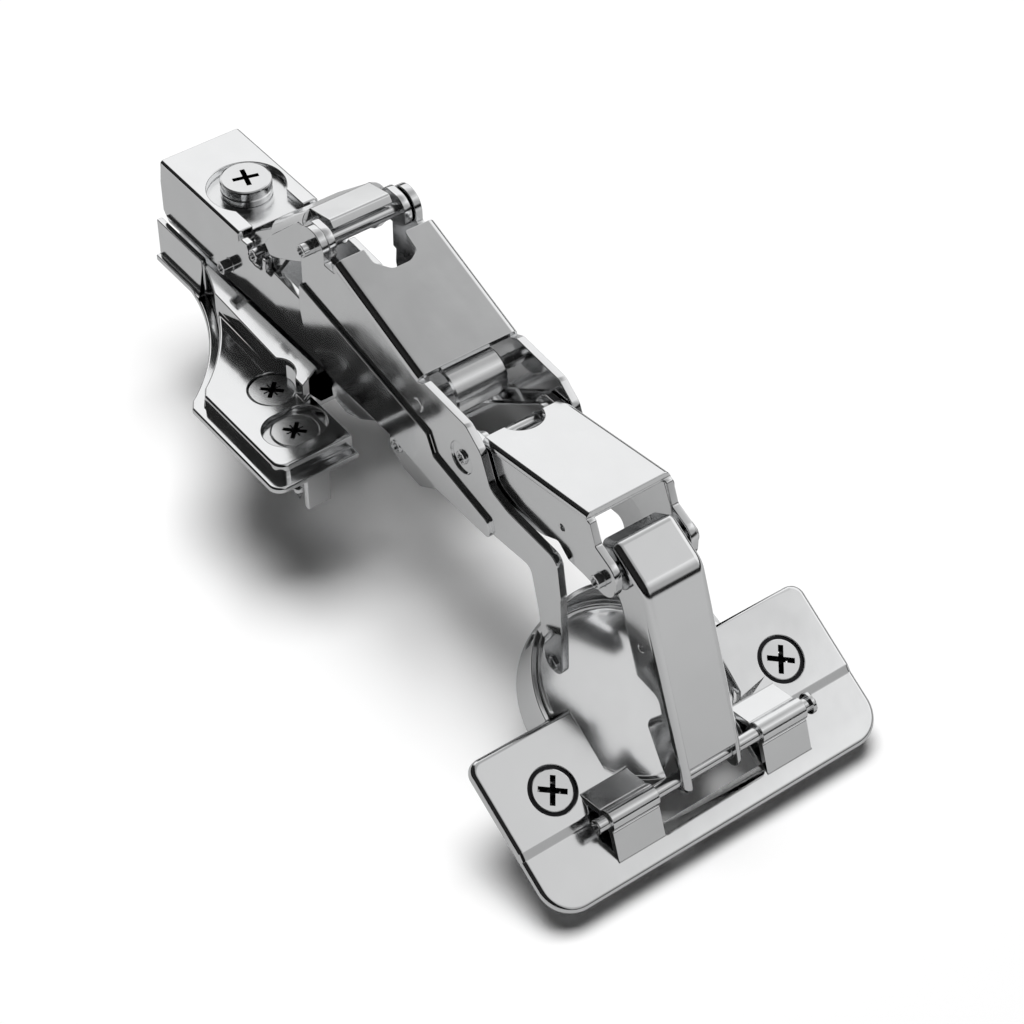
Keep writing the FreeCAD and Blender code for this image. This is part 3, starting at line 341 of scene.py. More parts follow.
def plated_metal(name, colour, roughness, drift, wave=1.0):
    """Bright metal whose shine, colour and surface vary a little from place to place."""
    metal = bpy.data.materials.new(name)
    metal.use_nodes = True
    nodes = metal.node_tree.nodes
    links = metal.node_tree.links
    shader = nodes["Principled BSDF"]
    shader.inputs["Metallic"].default_value = 1.0
    place = nodes.new("ShaderNodeTexCoord")
    cloud = nodes.new("ShaderNodeTexNoise")
    cloud.inputs["Scale"].default_value = CLOUD_PER_M
    shine = map_range(nodes, *NOISE_RANGE, roughness * (1 - SHINE_DRIFT),
                      roughness * (1 + SHINE_DRIFT))
    tint = nodes.new("ShaderNodeValToRGB")
    tint.color_ramp.elements[0].position = NOISE_RANGE[0]
    tint.color_ramp.elements[0].color = [c * (1 - drift) for c in colour] + [1]
    tint.color_ramp.elements[1].position = NOISE_RANGE[1]
    tint.color_ramp.elements[1].color = [min(1, c * (1 + drift)) for c in colour] + [1]
    ripple = nodes.new("ShaderNodeTexNoise")
    ripple.inputs["Scale"].default_value = WAVE_PER_M
    ripple.inputs["Detail"].default_value = WAVE_DETAIL
    stretch = nodes.new("ShaderNodeMapping")
    stretch.inputs["Scale"].default_value = LINE_STRETCH
    polish = nodes.new("ShaderNodeTexNoise")
    polish.inputs["Scale"].default_value = 1.0
    wavy = nodes.new("ShaderNodeBump")
    wavy.inputs["Distance"].default_value = WAVE_HEIGHT * wave
    lined = nodes.new("ShaderNodeBump")
    lined.inputs["Distance"].default_value = LINE_HEIGHT
    links.new(place.outputs["Object"], cloud.inputs["Vector"])
    links.new(place.outputs["Object"], ripple.inputs["Vector"])
    links.new(place.outputs["Object"], stretch.inputs["Vector"])
    links.new(stretch.outputs["Vector"], polish.inputs["Vector"])
    links.new(cloud.outputs["Fac"], shine.inputs["Value"])
    links.new(shine.outputs["Result"], shader.inputs["Roughness"])
    links.new(cloud.outputs["Fac"], tint.inputs["Fac"])
    links.new(tint.outputs["Color"], shader.inputs["Base Color"])
    links.new(ripple.outputs["Fac"], wavy.inputs["Height"])
    links.new(polish.outputs["Fac"], lined.inputs["Height"])
    links.new(wavy.outputs["Normal"], lined.inputs["Normal"])
    links.new(lined.outputs["Normal"], shader.inputs["Normal"])
    return metal


print("clouds", round(1 / CLOUD_PER_M / MM, 1), "mm wide, waves", WAVE_HEIGHT / MM, "mm high")

# %% [markdown]
# ## Six finishes and a painted shade
#
# The sheets are bright nickel, a trace duller on the levers and in the drawn
# cup. Pins and screws are turned steel, which is a little darker and rougher.
# The hidden pieces in the arm and under the plate are zinc. A recess gets painted
# shade, nearly black, because hardly any light finds its way out of it.

# %% Mix the finishes and the painted shade
NICKEL = (0.84, 0.845, 0.85)
LEVER_GREY = [c * 0.98 for c in NICKEL]
PIN_GREY = [c * 0.95 for c in NICKEL]
SCREW_GREY = [c * 0.93 for c in NICKEL]
ZINC = (0.80, 0.805, 0.81)
# Painted shade for recesses: a nearly black colour.
PAINTED_SHADE_BLACK = (0.03, 0.03, 0.032)

bright_nickel = plated_metal("bright_nickel", NICKEL, roughness=0.11, drift=0.02)
lever_nickel = plated_metal("lever_nickel", LEVER_GREY, roughness=0.13, drift=0.02)
cup_nickel = plated_metal("cup_nickel", NICKEL, roughness=0.14, drift=0.02, wave=1.3)
turned_steel = plated_metal("turned_steel", PIN_GREY, roughness=0.17, drift=0.03, wave=0.4)
screw_steel = plated_metal("screw_steel", SCREW_GREY, roughness=0.18, drift=0.04, wave=0.5)
inner_zinc = plated_metal("inner_zinc", ZINC, roughness=0.20, drift=0.05)
recess_painted_shade = plated_metal("recess_painted_shade", PAINTED_SHADE_BLACK, roughness=0.45, drift=0.1)
print("materials, with those of the CAD pieces:", len(bpy.data.materials))

# %% [markdown]
# ## The outline of the flange
#
# No pressed edge is razor sharp, and the narrow band along it catches a line of
# light and a line of dark, which is what makes metal look like metal. Most
# edges get a band of a fifth of a millimetre or so. The flange of the cup has a
# rounder one along its upper outline, so that outline has to be found. It is a
# tilted rectangle with two small and two large corners, and a formula for the
# distance from a rounded rectangle tells which points lie on it. All lengths
# here are in mm.

# %% Find the flange's outline
FLANGE_TILT = math.radians(30.7)
ON_FLANGE = Matrix.Rotation(FLANGE_TILT, 3, "Y")
FLANGE_PLACE = Vector((92.73, 0, -11.83))
FLANGE_MIDDLE = 4.35
FLANGE_REACH = (14.65, 34.8)
FLANGE_CORNERS = (2.5, 6.0)


def flange_edge_distance(point):
    """How far a point stands from the flange's outline, and its level on the flange."""
    local = ON_FLANGE.inverted() @ (point - FLANGE_PLACE)
    corner = FLANGE_CORNERS[1] if local.x > FLANGE_MIDDLE else FLANGE_CORNERS[0]
    along = abs(local.x - FLANGE_MIDDLE) - FLANGE_REACH[0] + corner
    across = abs(local.y) - FLANGE_REACH[1] + corner
    outside = math.hypot(max(along, 0), max(across, 0))
    return abs(min(max(along, across), 0) + outside - corner), local.z


print("flange in mm:", [round(2 * reach, 1) for reach in FLANGE_REACH])

# %% [markdown]
# ## How far each edge is rounded
#
# The thin rim of the mounting plate and the field that is raised inside it have
# rounder edges too. Both are found by their level above the panel. The field's
# edges round the screw holes are left out, because there is no room for a
# wider band. An edge between two faces that run on smoothly isn't rounded.

# %% Choose the rounding of each edge
HARD_ANGLE = math.radians(19.0)
NEAR_OUTLINE = 0.05
FLANGE_UPPER = -0.7
FLANGE_ROUNDING = 0.95
NEAR_LEVEL = 0.02
WING_INSIDE = 8.95
RIM_LEVEL = 1.2
RIM_ROUNDING = 0.45
FIELD_LEVEL = 4.0
FIELD_ROUNDING = 0.6
HOLES_INSIDE = 12.0
HOLES_ALONG = (-4.6, 15.0)


def at_level(points, level):
    """Whether all points lie at a level above the panel."""
    return all(abs(point.z - level) < NEAR_LEVEL for point in points)


def beside_holes(point):
    """Whether a point of the plate lies where the screw holes are."""
    return abs(point.y) > HOLES_INSIDE and HOLES_ALONG[0] < point.x < HOLES_ALONG[1]


def rounding(node, ends, usual):
    """Width of the rounding, in mm, along an edge of a sheet between two ends."""
    if node == "hinge_cup":
        found = [flange_edge_distance(point) for point in ends]
        if all(distance < NEAR_OUTLINE and level > FLANGE_UPPER for distance, level in found):
            return FLANGE_ROUNDING
    if node == "mounting_plate" and all(abs(point.y) > WING_INSIDE for point in ends):
        if at_level(ends, RIM_LEVEL):
            return RIM_ROUNDING
        if at_level(ends, FIELD_LEVEL) and not all(beside_holes(point) for point in ends):
            return FIELD_ROUNDING
    return usual


def edge_widths(node, mesh, usual):
    """The rounding of each edge of a mesh, in mm: none where two faces run on smoothly."""
    shape = bmesh.new()
    shape.from_mesh(mesh)
    shape.edges.ensure_lookup_table()
    widths = []
    for edge in shape.edges:
        hard = len(edge.link_faces) == 2 and edge.calc_face_angle() > HARD_ANGLE
        ends = [vertex.co / MM for vertex in edge.verts]
        widths.append(rounding(node, ends, usual) if hard else 0.0)
    shape.free()
    return widths


print("wide roundings in mm:", FLANGE_ROUNDING, RIM_ROUNDING, FIELD_ROUNDING)

# %% [markdown]
# ## Cutting shapes out of a mesh
#
# Some forms are easiest made by taking away. A Boolean modifier subtracts one
# closed mesh from another, and several can stand in a row. The result is kept
# as a plain mesh, and the cutters are thrown away, so the pieces stay simple.

# %% Make the cutting tools
BOX_FACES = [
    (3, 2, 1, 0),
    (4, 5, 6, 7),
    (0, 1, 5, 4),
    (1, 2, 6, 5),
    (2, 3, 7, 6),
    (3, 0, 4, 7),
]


def box_mesh(low, high):
    """A closed box between two corners, in mm."""
    around = ((low[0], low[1]), (high[0], low[1]), (high[0], high[1]), (low[0], high[1]))
    points = [(x * MM, y * MM, z * MM) for z in (low[2], high[2]) for x, y in around]
    mesh = bpy.data.meshes.new("box")
    mesh.from_pydata(points, [], BOX_FACES)
    return mesh


def evaluated_mesh(piece):
    """What a piece's modifiers make of its mesh."""
    bpy.context.view_layer.update()
    return bpy.data.meshes.new_from_object(
        piece.evaluated_get(bpy.context.evaluated_depsgraph_get()))


def without(piece, cutters):
    """The mesh of a piece with all cutters taken out of it; the cutters are used up."""
    for cutter in cutters:
        cut = piece.modifiers.new("cut", "BOOLEAN")
        cut.operation = "DIFFERENCE"
        cut.object = cutter
    mesh = evaluated_mesh(piece)
    piece.modifiers.clear()
    for cutter in cutters:
        bpy.data.objects.remove(cutter)
    return mesh


print("a box cutter has", len(BOX_FACES), "faces")

# %% [markdown]
# ## The back of the mounting plate
#
# The solid has a plain step at the back, where the arm is hooked in. On the
# real plate that step is narrower and a little lower, and it stands on the
# thin rim, so boxes are cut from both of its flanks. The ledges beside the arm
# lean: their tops rise towards it, and their points are lifted to match.

# %% Trim the plate's step and lean its ledges
STEP_CUT = ((-48.6, 10.1, 1.25), (-31.9, 12.5, 11.0))
STEP_TOP_CUT = ((-48.6, 8.85, 9.2), (-31.9, 12.5, 11.0))
LEDGE_TOP = 7.5
LEDGE_INSIDE = 8.9
LEDGE_SLOPE = 3.6
LEDGE_LIFT = 0.75


def trimmed_plate(mesh):
    """The plate with its step trimmed on both sides and its ledges leaning."""
    plate = placed("untrimmed_plate", mesh)
    cutters = []
    for low, high in (STEP_CUT, STEP_TOP_CUT):
        mirrored = ((low[0], -high[1], low[2]), (high[0], -low[1], high[2]))
        cutters.append(placed("step_cutter", box_mesh(low, high)))
        cutters.append(placed("step_cutter", box_mesh(*mirrored)))
    trimmed = without(plate, cutters)
    bpy.data.objects.remove(plate)
    for vertex in trimmed.vertices:
        if abs(vertex.co.z / MM - LEDGE_TOP) < NEAR_LEVEL:
            share = 1 - (abs(vertex.co.y) / MM - LEDGE_INSIDE) / LEDGE_SLOPE
            vertex.co.z += LEDGE_LIFT * MM * max(0.0, share)
    return trimmed


print("ledges lean by", round(math.degrees(math.atan(LEDGE_LIFT / LEDGE_SLOPE))), "degrees")

# %% [markdown]
# ## Folded sheets
#
# Each CAD sheet is copied, its triangles are joined back into flat faces, and
# its hard edges are rounded by the widths from above. Where two roundings meet
# in a tight corner, a point can be thrown off the sheet, so every stray point
# is put back on the plain surface. Weighted normals keep the flat faces flat
# beside their rounded edges.

# %% Learn to ease the edges of a sheet
MERGE = 0.002 * MM
FLAT_ANGLE = math.radians(1.0)
SHARP_ANGLE = 2 * HARD_ANGLE
ROUNDING_STEPS = 3
THROWN_INSIDE = 0.45 * MM
THROWN_OUTSIDE = 0.02 * MM


def flat_faced_mesh(node):
    """The mesh of a CAD node with its triangles joined into flat faces."""
    source = frame["nodes"][node].data
    shape = bmesh.new()
    for vertex in source.vertices:
        shape.verts.new(vertex.co)
    shape.verts.ensure_lookup_table()
    for face in source.polygons:
        shape.faces.new([shape.verts[index] for index in face.vertices])
    bmesh.ops.remove_doubles(shape, verts=shape.verts, dist=MERGE)
    bmesh.ops.dissolve_limit(shape, angle_limit=FLAT_ANGLE, verts=shape.verts, edges=shape.edges)
    mesh = bpy.data.meshes.new(node + "_plain")
    shape.to_mesh(mesh)
    shape.free()
    return mesh


def rounded_mesh(mesh, widths):
    """The mesh with each edge rounded by its own width, in mm."""
    widest = max(widths)
    weights = mesh.attributes.new("bevel_weight_edge", "FLOAT", "EDGE")
    for index, width in enumerate(widths):
        weights.data[index].value = width / widest
    plain = placed("plain_sheet", mesh)
    bevel = plain.modifiers.new("eased_edges", "BEVEL")
    bevel.width = widest * MM
    bevel.segments = ROUNDING_STEPS
    bevel.limit_method = "WEIGHT"
    bevel.use_clamp_overlap = False
    rounded = evaluated_mesh(plain)
    bpy.data.objects.remove(plain)
    return rounded


def settle(mesh, source):
    """Put back on the source's surface each point that the rounding threw off it."""
    surface = BVHTree.FromPolygons([vertex.co.copy() for vertex in source.vertices],
                                   [list(face.vertices) for face in source.polygons])
    for vertex in mesh.vertices:
        place, normal, index, distance = surface.find_nearest(vertex.co)
        outside = (vertex.co - place).dot(normal) > 0
        if distance > THROWN_INSIDE or (outside and distance > THROWN_OUTSIDE):
            vertex.co = place


def eased_copy(node, width_mm, metal, slot, body):
    """A copy of a CAD node with softened edges, which stands for it."""
    plain = flat_faced_mesh(node)
    if node == "mounting_plate":
        plain = trimmed_plate(plain)
    mesh = rounded_mesh(plain, edge_widths(node, plain, width_mm))
    settle(mesh, plain)
    mesh.materials.clear()
    mesh.materials.append(metal)
    mesh.shade_smooth()
    mesh.set_sharp_from_angle(angle=SHARP_ANGLE)
    piece = placed(node + "_eased", mesh)
    weighted = piece.modifiers.new("flat_faces", "WEIGHTED_NORMAL")
    weighted.keep_sharp = True
    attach(piece, body)
    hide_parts(node)
    return piece


print("points may stray by", round(THROWN_OUTSIDE / MM, 3), "mm outside the sheet")

# %% [markdown]
# ## Ten sheets
#
# Each sheet gets its own width, in mm. A wide band catches more light, but
# where it runs into a hole or a tight corner it tears the sheet, so the sheets
# with such places get a narrow one.

# %% Ease the edges of the sheets
SHEETS = [
    ("mounting_plate", 0.20, bright_nickel, "nickel_sheet", "mounting"),
    ("clamp_straps", 0.15, inner_zinc, "inner_steel", "mounting"),
    ("arm_carrier", 0.15, inner_zinc, "inner_steel", "mounting"),
    ("hinge_arm", 0.24, bright_nickel, "nickel_sheet", "arm"),
    ("slide_plate", 0.15, inner_zinc, "inner_steel", "arm"),
    ("rear_link", 0.14, lever_nickel, "lever_sheet", "rear_link"),
    ("inner_lever", 0.20, lever_nickel, "lever_sheet", "inner_lever"),
    ("outer_lever", 0.15, lever_nickel, "lever_sheet", "outer_lever"),
    ("front_link", 0.24, lever_nickel, "lever_sheet", "front_link"),
    ("hinge_cup", 0.16, cup_nickel, "cup_sheet", "cup"),
]
for sheet in SHEETS:
    eased = eased_copy(*sheet)
    print(eased.name, len(eased.data.polygons), "faces with its eased edges")

# %% [markdown]
# ## A lathe
#
# Pins, rollers and screws are round, so they are made as on a lathe: a half
# profile is spun about an axis. The profile lists how far along the axis and
# how far out each ring of points stands. A third number cuts petals into a
# ring, for the ends of hollow pins that are spread with a star punch. A
# fourth gives the ring a thread, by moving its points in and out as they go
# round. An end face starts from a tiny ring, which keeps its shading clean.

# %% Build the lathe
SPIN_STEPS = 56
PETALS = 8
TINY_RING = 0.05 * MM


def spin(profile, pitch=0.0, closed=False):
    """Mesh data of a profile spun about local Z. Rings are (along, out, petal, thread)."""
    points = []
    faces = []
    for along, out, petal, thread in profile:
        for step in range(SPIN_STEPS):
            angle = 2 * math.pi * step / SPIN_STEPS
            radius = out - petal * (0.5 + 0.5 * math.cos(PETALS * angle))
            if thread:
                phase = (along / pitch - angle / (2 * math.pi)) % 1.0
                radius -= thread * abs(2 * phase - 1)
            points.append((radius * math.cos(angle), radius * math.sin(angle), along))
    for ring in range(len(profile) - (0 if closed else 1)):
        for step in range(SPIN_STEPS):
            following = (step + 1) % SPIN_STEPS
            low = ring * SPIN_STEPS
            high = (ring + 1) % len(profile) * SPIN_STEPS
            faces.append((low + step, low + following, high + following, high + step))
    if not closed:
        faces.append(tuple(reversed(range(SPIN_STEPS))))
        faces.append(tuple(range(len(points) - SPIN_STEPS, len(points))))
    return points, faces


print("lathe with", SPIN_STEPS, "steps")

# %% [markdown]
# ## Where the round solids stand
#
# One CAD node can hold several screws or rivets. They are told apart by
# walking from each point to its neighbours until a solid has no more. A
# solid's box then gives its axis, its radius and both of its ends. For a
# tilted piece the box is measured along the piece's own axes.

# %% Measure the round solids
UP = Matrix.Identity(3)
ACROSS = Matrix(((1, 0, 0), (0, 0, 1), (0, -1, 0)))


def separate_solids(node, facing):
    """Lowest and highest corner of each solid in a node, along the axes of facing."""
    shape = bmesh.new()
    shape.from_mesh(frame["nodes"][node].data)
    bmesh.ops.remove_doubles(shape, verts=shape.verts, dist=MERGE)
    back = facing.inverted()
    waiting = set(shape.verts)
    found = []
    while waiting:
        front = [waiting.pop()]
        corners = []
        while front:
            vertex = front.pop()
            corners.append(back @ vertex.co)
            for edge in vertex.link_edges:
                other = edge.other_vert(vertex)
                if other in waiting:
                    waiting.remove(other)
                    front.append(other)
        low = Vector([min(c[axis] for c in corners) for axis in range(3)])
        high = Vector([max(c[axis] for c in corners) for axis in range(3)])
        found.append((low, high))
    shape.free()
    return sorted(found, key=lambda box: tuple(box[0]))


def middle_and_radius(low, high):
    """Where the axis of a round solid stands, and its radius, from its box."""
    return Vector(((low.x + high.x) / 2, (low.y + high.y) / 2, 0)), (high.x - low.x) / 2


print("panel screws:", len(separate_solids("panel_screws", UP)))

# %% [markdown]
# ## From rings to pieces
#
# The spun parts of a node become one object with its own metal and a second
# material of painted shade for its recesses. The object then takes the place
# of the CAD node and moves with the same body.

# %% Assemble and dress turned pieces
def turned_piece(name, parts, facing, metal):
    """One object from several spun parts, each (points, faces) with its place."""
    points = []
    faces = []
    for (own_points, own_faces), place in parts:
        start = len(points)
        points += [Vector(p) + place for p in own_points]
        faces += [[start + index for index in face] for face in own_faces]
    mesh = bpy.data.meshes.new(name)
    mesh.from_pydata(points, [], faces)
    mesh.materials.append(metal)
    # The second material paints shade into the recesses.
    mesh.materials.append(recess_painted_shade)
    mesh.shade_smooth()
    mesh.set_sharp_from_angle(angle=HARD_ANGLE)
    piece = placed(name, mesh)
    piece.matrix_world = facing.to_4x4()
    return piece


def dress(piece, node):
    """Let a made piece stand for its CAD node and move with the node's body."""
    weighted = piece.modifiers.new("flat_faces", "WEIGHTED_NORMAL")
    weighted.keep_sharp = True
    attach(piece, frame["nodes"][node]["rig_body"])
    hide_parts(node)
    print(piece.name, len(piece.data.polygons), "faces")


print("shading splits above", round(math.degrees(HARD_ANGLE)), "degrees")

# %% [markdown]
# ## Ends of the pins
#
# Every pivot is a steel pin that lies across the hinge. Its right end is plain
# or has a flat head. Its left end is drilled, and a star punch spreads the thin
# wall, which leaves a ring with small petals. Rims are eased by three rings each,
# the middle one a little outside the straight chamfer. The drilled hole is
# given by shares of its depth and of its bore.

# %% Shape the ends of the pins
RIM_SHARE = 0.3
PIN_CHAMFER = 0.18 * MM
PIN_BORE = 0.78 * MM
BORE_SHAPE = ((1.0, 0.1), (0.9, 0.8), (0.4, 0.85))
BORE_MOUTH = 1.30
PETAL_DEPTH = 0.28 * MM
LEAST_HEAD = 1.05


def eased_rim(at, into, radius, size):
    """Three rings from an end face over its rim; into is +1 or -1, towards the shank."""
    return [
        (at, radius - size, 0, 0),
        (at + into * size * RIM_SHARE, radius - size * RIM_SHARE, 0, 0),
        (at + into * size, radius, 0, 0),
    ]


def hollow_end(at, into, radius, depth):
    """Rings of a drilled and star-punched end, from the bottom of its bore."""
    rings = [(at + into * depth * deep, PIN_BORE * wide, 0, 0) for deep, wide in BORE_SHAPE]
    rings.append((at, PIN_BORE * BORE_MOUTH, PETAL_DEPTH, 0))
    return rings + eased_rim(at, into, radius, PIN_CHAMFER)


def headed_end(at, into, radius, head_radius, head_thick):
    """Rings of a flat head, from its outer face to the shank."""
    rings = [(at, TINY_RING, 0, 0)] + eased_rim(at, into, head_radius, PIN_CHAMFER)
    if head_radius > radius * LEAST_HEAD:
        rings.append((at + into * (head_thick - PIN_CHAMFER / 2), head_radius, 0, 0))
        rings.append((at + into * head_thick, head_radius - PIN_CHAMFER / 2, 0, 0))
        rings.append((at + into * head_thick, radius, 0, 0))
    return rings


print("bore of the pins in mm:", round(2 * PIN_BORE / MM, 2))

# %% [markdown]
# ## Riveted pins
#
# Each pin's length and head come from the box of its CAD solid. Only the
# shank's radius and the head's thickness are given here. Some pins differ: the
# rivet in the arm and the stubs of the foot axle are drilled at both ends, and
# the roller's pin at neither.

# %% Turn the pins
PIN_RADIUS = 1.25 * MM
AXLE_RADIUS = 1.2 * MM
BORE_DEPTH = 1.5 * MM
BORE_MOST = 0.4
THIN_HEAD = 0.7 * MM
USUAL_HEAD = 0.8 * MM
THICK_HEAD = 1.4 * MM


def turned_pin(node, radius, head_thick, right_hollow=False, left_hollow=True):
    """A pin across the hinge, or a pair of stubs, as long as the CAD solids."""
    parts = []
    for low, high in separate_solids(node, ACROSS):
        middle, head_radius = middle_and_radius(low, high)
        depth = min(BORE_DEPTH, (high.z - low.z) * BORE_MOST)
        left = hollow_end(low.z, 1, radius, depth)
        if not left_hollow:
            left = headed_end(low.z, 1, radius, radius, 0)
        right = headed_end(high.z, -1, radius, head_radius, head_thick)
        if right_hollow:
            right = hollow_end(high.z, -1, radius, depth)
        parts.append((spin(left + list(reversed(right))), middle))
    pin = turned_piece(node + "_turned", parts, ACROSS, turned_steel)
    dress(pin, node)


turned_pin("arm_rivet", PIN_RADIUS, 0, right_hollow=True)
turned_pin("nose_pin", PIN_RADIUS, 0)
turned_pin("rear_pin", PIN_RADIUS, 0)
turned_pin("knee_pin", PIN_RADIUS, THICK_HEAD)
turned_pin("bridge_pin", PIN_RADIUS, USUAL_HEAD)
turned_pin("centre_pin", PIN_RADIUS, THIN_HEAD)
turned_pin("foot_axle", AXLE_RADIUS, 0, right_hollow=True)
turned_pin("roller_pin", PIN_RADIUS, 0, left_hollow=False)
turned_pin("cup_pin", PIN_RADIUS, USUAL_HEAD)

# %% [markdown]
# ## Cam roller
#
# Between the sides of the outer lever sits a hardened roller. It is a plain
# polished tube with chamfered ends, so the lathe makes it too: the profile
# simply comes back on itself through the bore.

# %% Turn the roller
ROLLER_CHAMFER = 0.35 * MM
ROLLER_BORE = 1.3 * MM


def tube_rings(bottom, top, bore, radius, chamfer):
    """Rings of a tube with chamfered ends."""
    return [
        (bottom, bore, 0, 0),
        (bottom, radius - chamfer, 0, 0),
        (bottom + chamfer, radius, 0, 0),
        (top - chamfer, radius, 0, 0),
        (top, radius - chamfer, 0, 0),
        (top, bore, 0, 0),
    ]


low, high = separate_solids("cam_roller", ACROSS)[0]
roller_middle, roller_radius = middle_and_radius(low, high)
roller_rings = tube_rings(low.z, high.z, ROLLER_BORE, roller_radius, ROLLER_CHAMFER)
roller = turned_piece("cam_roller_turned", [(spin(roller_rings, closed=True), roller_middle)],
                      ACROSS, turned_steel)
dress(roller, "cam_roller")

# %% [markdown]
# ## The shape of a wood screw
#
# Two round screws and two slot screws hold the plate to the panel, and two
# more hold the cup. All are flat-headed wood screws. The thread is one long
# ridge that winds round the shank, grows out of the point and fades at the
# neck. It is made by rings so close together that the lathe's thread number
# draws it. The cup screws have a groove round their face.

# %% Draw the profile of a screw
HEAD_EDGE = 0.18 * MM
HEAD_RIM = 0.6 * MM
POINT_LENGTH = 2.0
LEAST_SHANK = 0.1 * MM
LEAST_RIDGE = 0.001 * MM
THREAD_DEPTH = 0.55 * MM
THREAD_PITCH = 1.7 * MM
THREAD_RINGS = 9
THREAD_GROWTH = 1.2
GROOVE_WIDTH = 0.6 * MM
GROOVE_DEPTH = 0.35 * MM
GROOVE_LEAN = 0.02 * MM


def screw_rings(low, high, neck, head_radius, shank_radius, grooved):
    """Rings of a countersunk wood screw, from its tip past its neck to the top of its head."""
    tip = low + POINT_LENGTH * shank_radius
    rings = [(low, TINY_RING, 0, 0)]
    steps = int((neck - low) / THREAD_PITCH * THREAD_RINGS)
    for step in range(1, steps):
        along = low + (neck - low) * step / steps
        share = min(1.0, (along - low) / (tip - low))
        fading = min(1.0, share * THREAD_GROWTH, (neck - along) / THREAD_PITCH)
        rings.append((along, max(shank_radius * share, LEAST_SHANK), 0,
                      max(THREAD_DEPTH * fading, LEAST_RIDGE)))
    rings.append((neck, shank_radius, 0, 0))
    rings.append((high - HEAD_RIM, head_radius, 0, 0))
    face_radius = head_radius
    if grooved:
        face_radius = head_radius - GROOVE_WIDTH
        rings.append((high - GROOVE_DEPTH, head_radius - GROOVE_LEAN, 0, 0))
        rings.append((high - GROOVE_DEPTH, face_radius + GROOVE_LEAN, 0, 0))
    return rings + eased_rim(high, -1, face_radius, HEAD_EDGE)[::-1]


print("thread in mm:", round(THREAD_DEPTH / MM, 2), "deep, pitch", round(THREAD_PITCH / MM, 2))

# %% [markdown]
# ## Cross recesses
#
# A cross recess is cut from the head with two tapered bars, and what the cutter
# touches takes painted shade. Panel screws have a second, finer cross between
# the arms of the first. A bar's half length, half width and depth are shares of
# the recess's reach, so one pair of bars fits every screw. The groove of the
# cup screws gets painted shade by its place.

# %% Cut and blacken the recesses
CROSS_BAR = (1.0, 0.19, 0.75)
CROSS_TAPER = 0.72
FINE_BAR = (0.82, 0.07, 0.22)
FINE_TAPER = 0.8
BAR_ABOVE = 0.5 * MM
GROOVE_BELOW = 1.1
GROOVE_OUTSIDE = 1.4


def tapered_bar(centre, angle, length, width, depth, taper):
    """Corner points and faces of a bar that is narrower at its lower end."""
    points = []
    for height, shrink in ((BAR_ABOVE, 1.0), (-depth, taper)):
        for x, y in ((-1, -1), (1, -1), (1, 1), (-1, 1)):
            spot = Vector((x * length * shrink, y * width * shrink, height))
            points.append(Matrix.Rotation(angle, 3, "Z") @ spot + centre)
    faces = [(0, 1, 2, 3), (7, 6, 5, 4), (4, 5, 1, 0), (5, 6, 2, 1), (6, 7, 3, 2), (7, 4, 0, 3)]
    return points, faces


def recess_bars(top, reach, turn, with_fine_cross):
    """The bars of one recess, crosswise, with the finer ones between them."""
    bars = []
    for quarter in (0, math.pi / 2):
        angle = turn + quarter
        bars.append(tapered_bar(top, angle, *(reach * size for size in CROSS_BAR), CROSS_TAPER))
        if with_fine_cross:
            angle += math.pi / 4
            bars.append(tapered_bar(top, angle, *(reach * size for size in FINE_BAR), FINE_TAPER))
    return bars


def cut_recess(piece, tops, reach, turn, with_fine_cross):
    """Cut a cross into a piece at each of its screw tops."""
    cutters = []
    for top in tops:
        for points, faces in recess_bars(top, reach, turn, with_fine_cross):
            mesh = bpy.data.meshes.new("recess_cutter")
            mesh.from_pydata(points, [], faces)
            mesh.materials.append(bright_nickel)
            mesh.materials.append(recess_painted_shade)
            # The cutter's faces carry painted shade into the cut recess.
            for face in mesh.polygons:
                face.material_index = 1
            cutter = placed("recess_cutter", mesh)
            cutter.matrix_world = piece.matrix_world
            cutters.append(cutter)
    piece.data = without(piece, cutters)
    piece.data.set_sharp_from_angle(angle=HARD_ANGLE)


def paint_groove_shade(piece, tops, inner_radius):
    """Give painted shade to the ring-shaped groove round each screw's face."""
    for face in piece.data.polygons:
        for top in tops:
            away = face.center - top
            ring = inner_radius < away.xy.length < inner_radius * GROOVE_OUTSIDE
            if ring and away.z > -GROOVE_DEPTH * GROOVE_BELOW:
                # The groove's faces take the painted shade.
                face.material_index = 1


print("a recess with its fine cross takes", len(recess_bars(Vector(), 1, 0, True)), "bars")

# %% [markdown]
# ## Screws
#
# The heads, places and tips of the screws come from the CAD solids. A recess
# reaches over a share of the head's radius and is turned as the photograph
# shows it. The panel screws' necks lie on the panel, and the cup screws' a
# little below their own tops, where the cup's flange rests on the door.

# %% Turn the screws
PANEL_SHANK_RADIUS = 1.9 * MM
PANEL_NECK = 0.0
PANEL_CROSS_REACH = 0.55
PANEL_CROSS_TURN = math.radians(45)
CUP_SHANK_RADIUS = 1.75 * MM
CUP_SCREW_SEAT = 1.7 * MM
CUP_CROSS_REACH = 0.64
CUP_CROSS_TURN = math.radians(57)
GROOVE_INSET = 0.005 * MM


def threaded_screws(node, facing, shank_radius, neck, grooved, reach, turn):
    """All screws of a CAD node as one piece, with thread and recess."""
    parts = []
    tops = []
    for low, high in separate_solids(node, facing):
        middle, head_radius = middle_and_radius(low, high)
        rings = screw_rings(low.z, high.z, neck, head_radius, shank_radius, grooved)
        parts.append((spin(rings, THREAD_PITCH), middle))
        tops.append(Vector((middle.x, middle.y, high.z)))
    piece = turned_piece(node + "_threaded", parts, facing, screw_steel)
    if grooved:
        paint_groove_shade(piece, tops, head_radius - GROOVE_WIDTH + GROOVE_INSET)
    cut_recess(piece, tops, head_radius * reach, turn, not grooved)
    dress(piece, node)


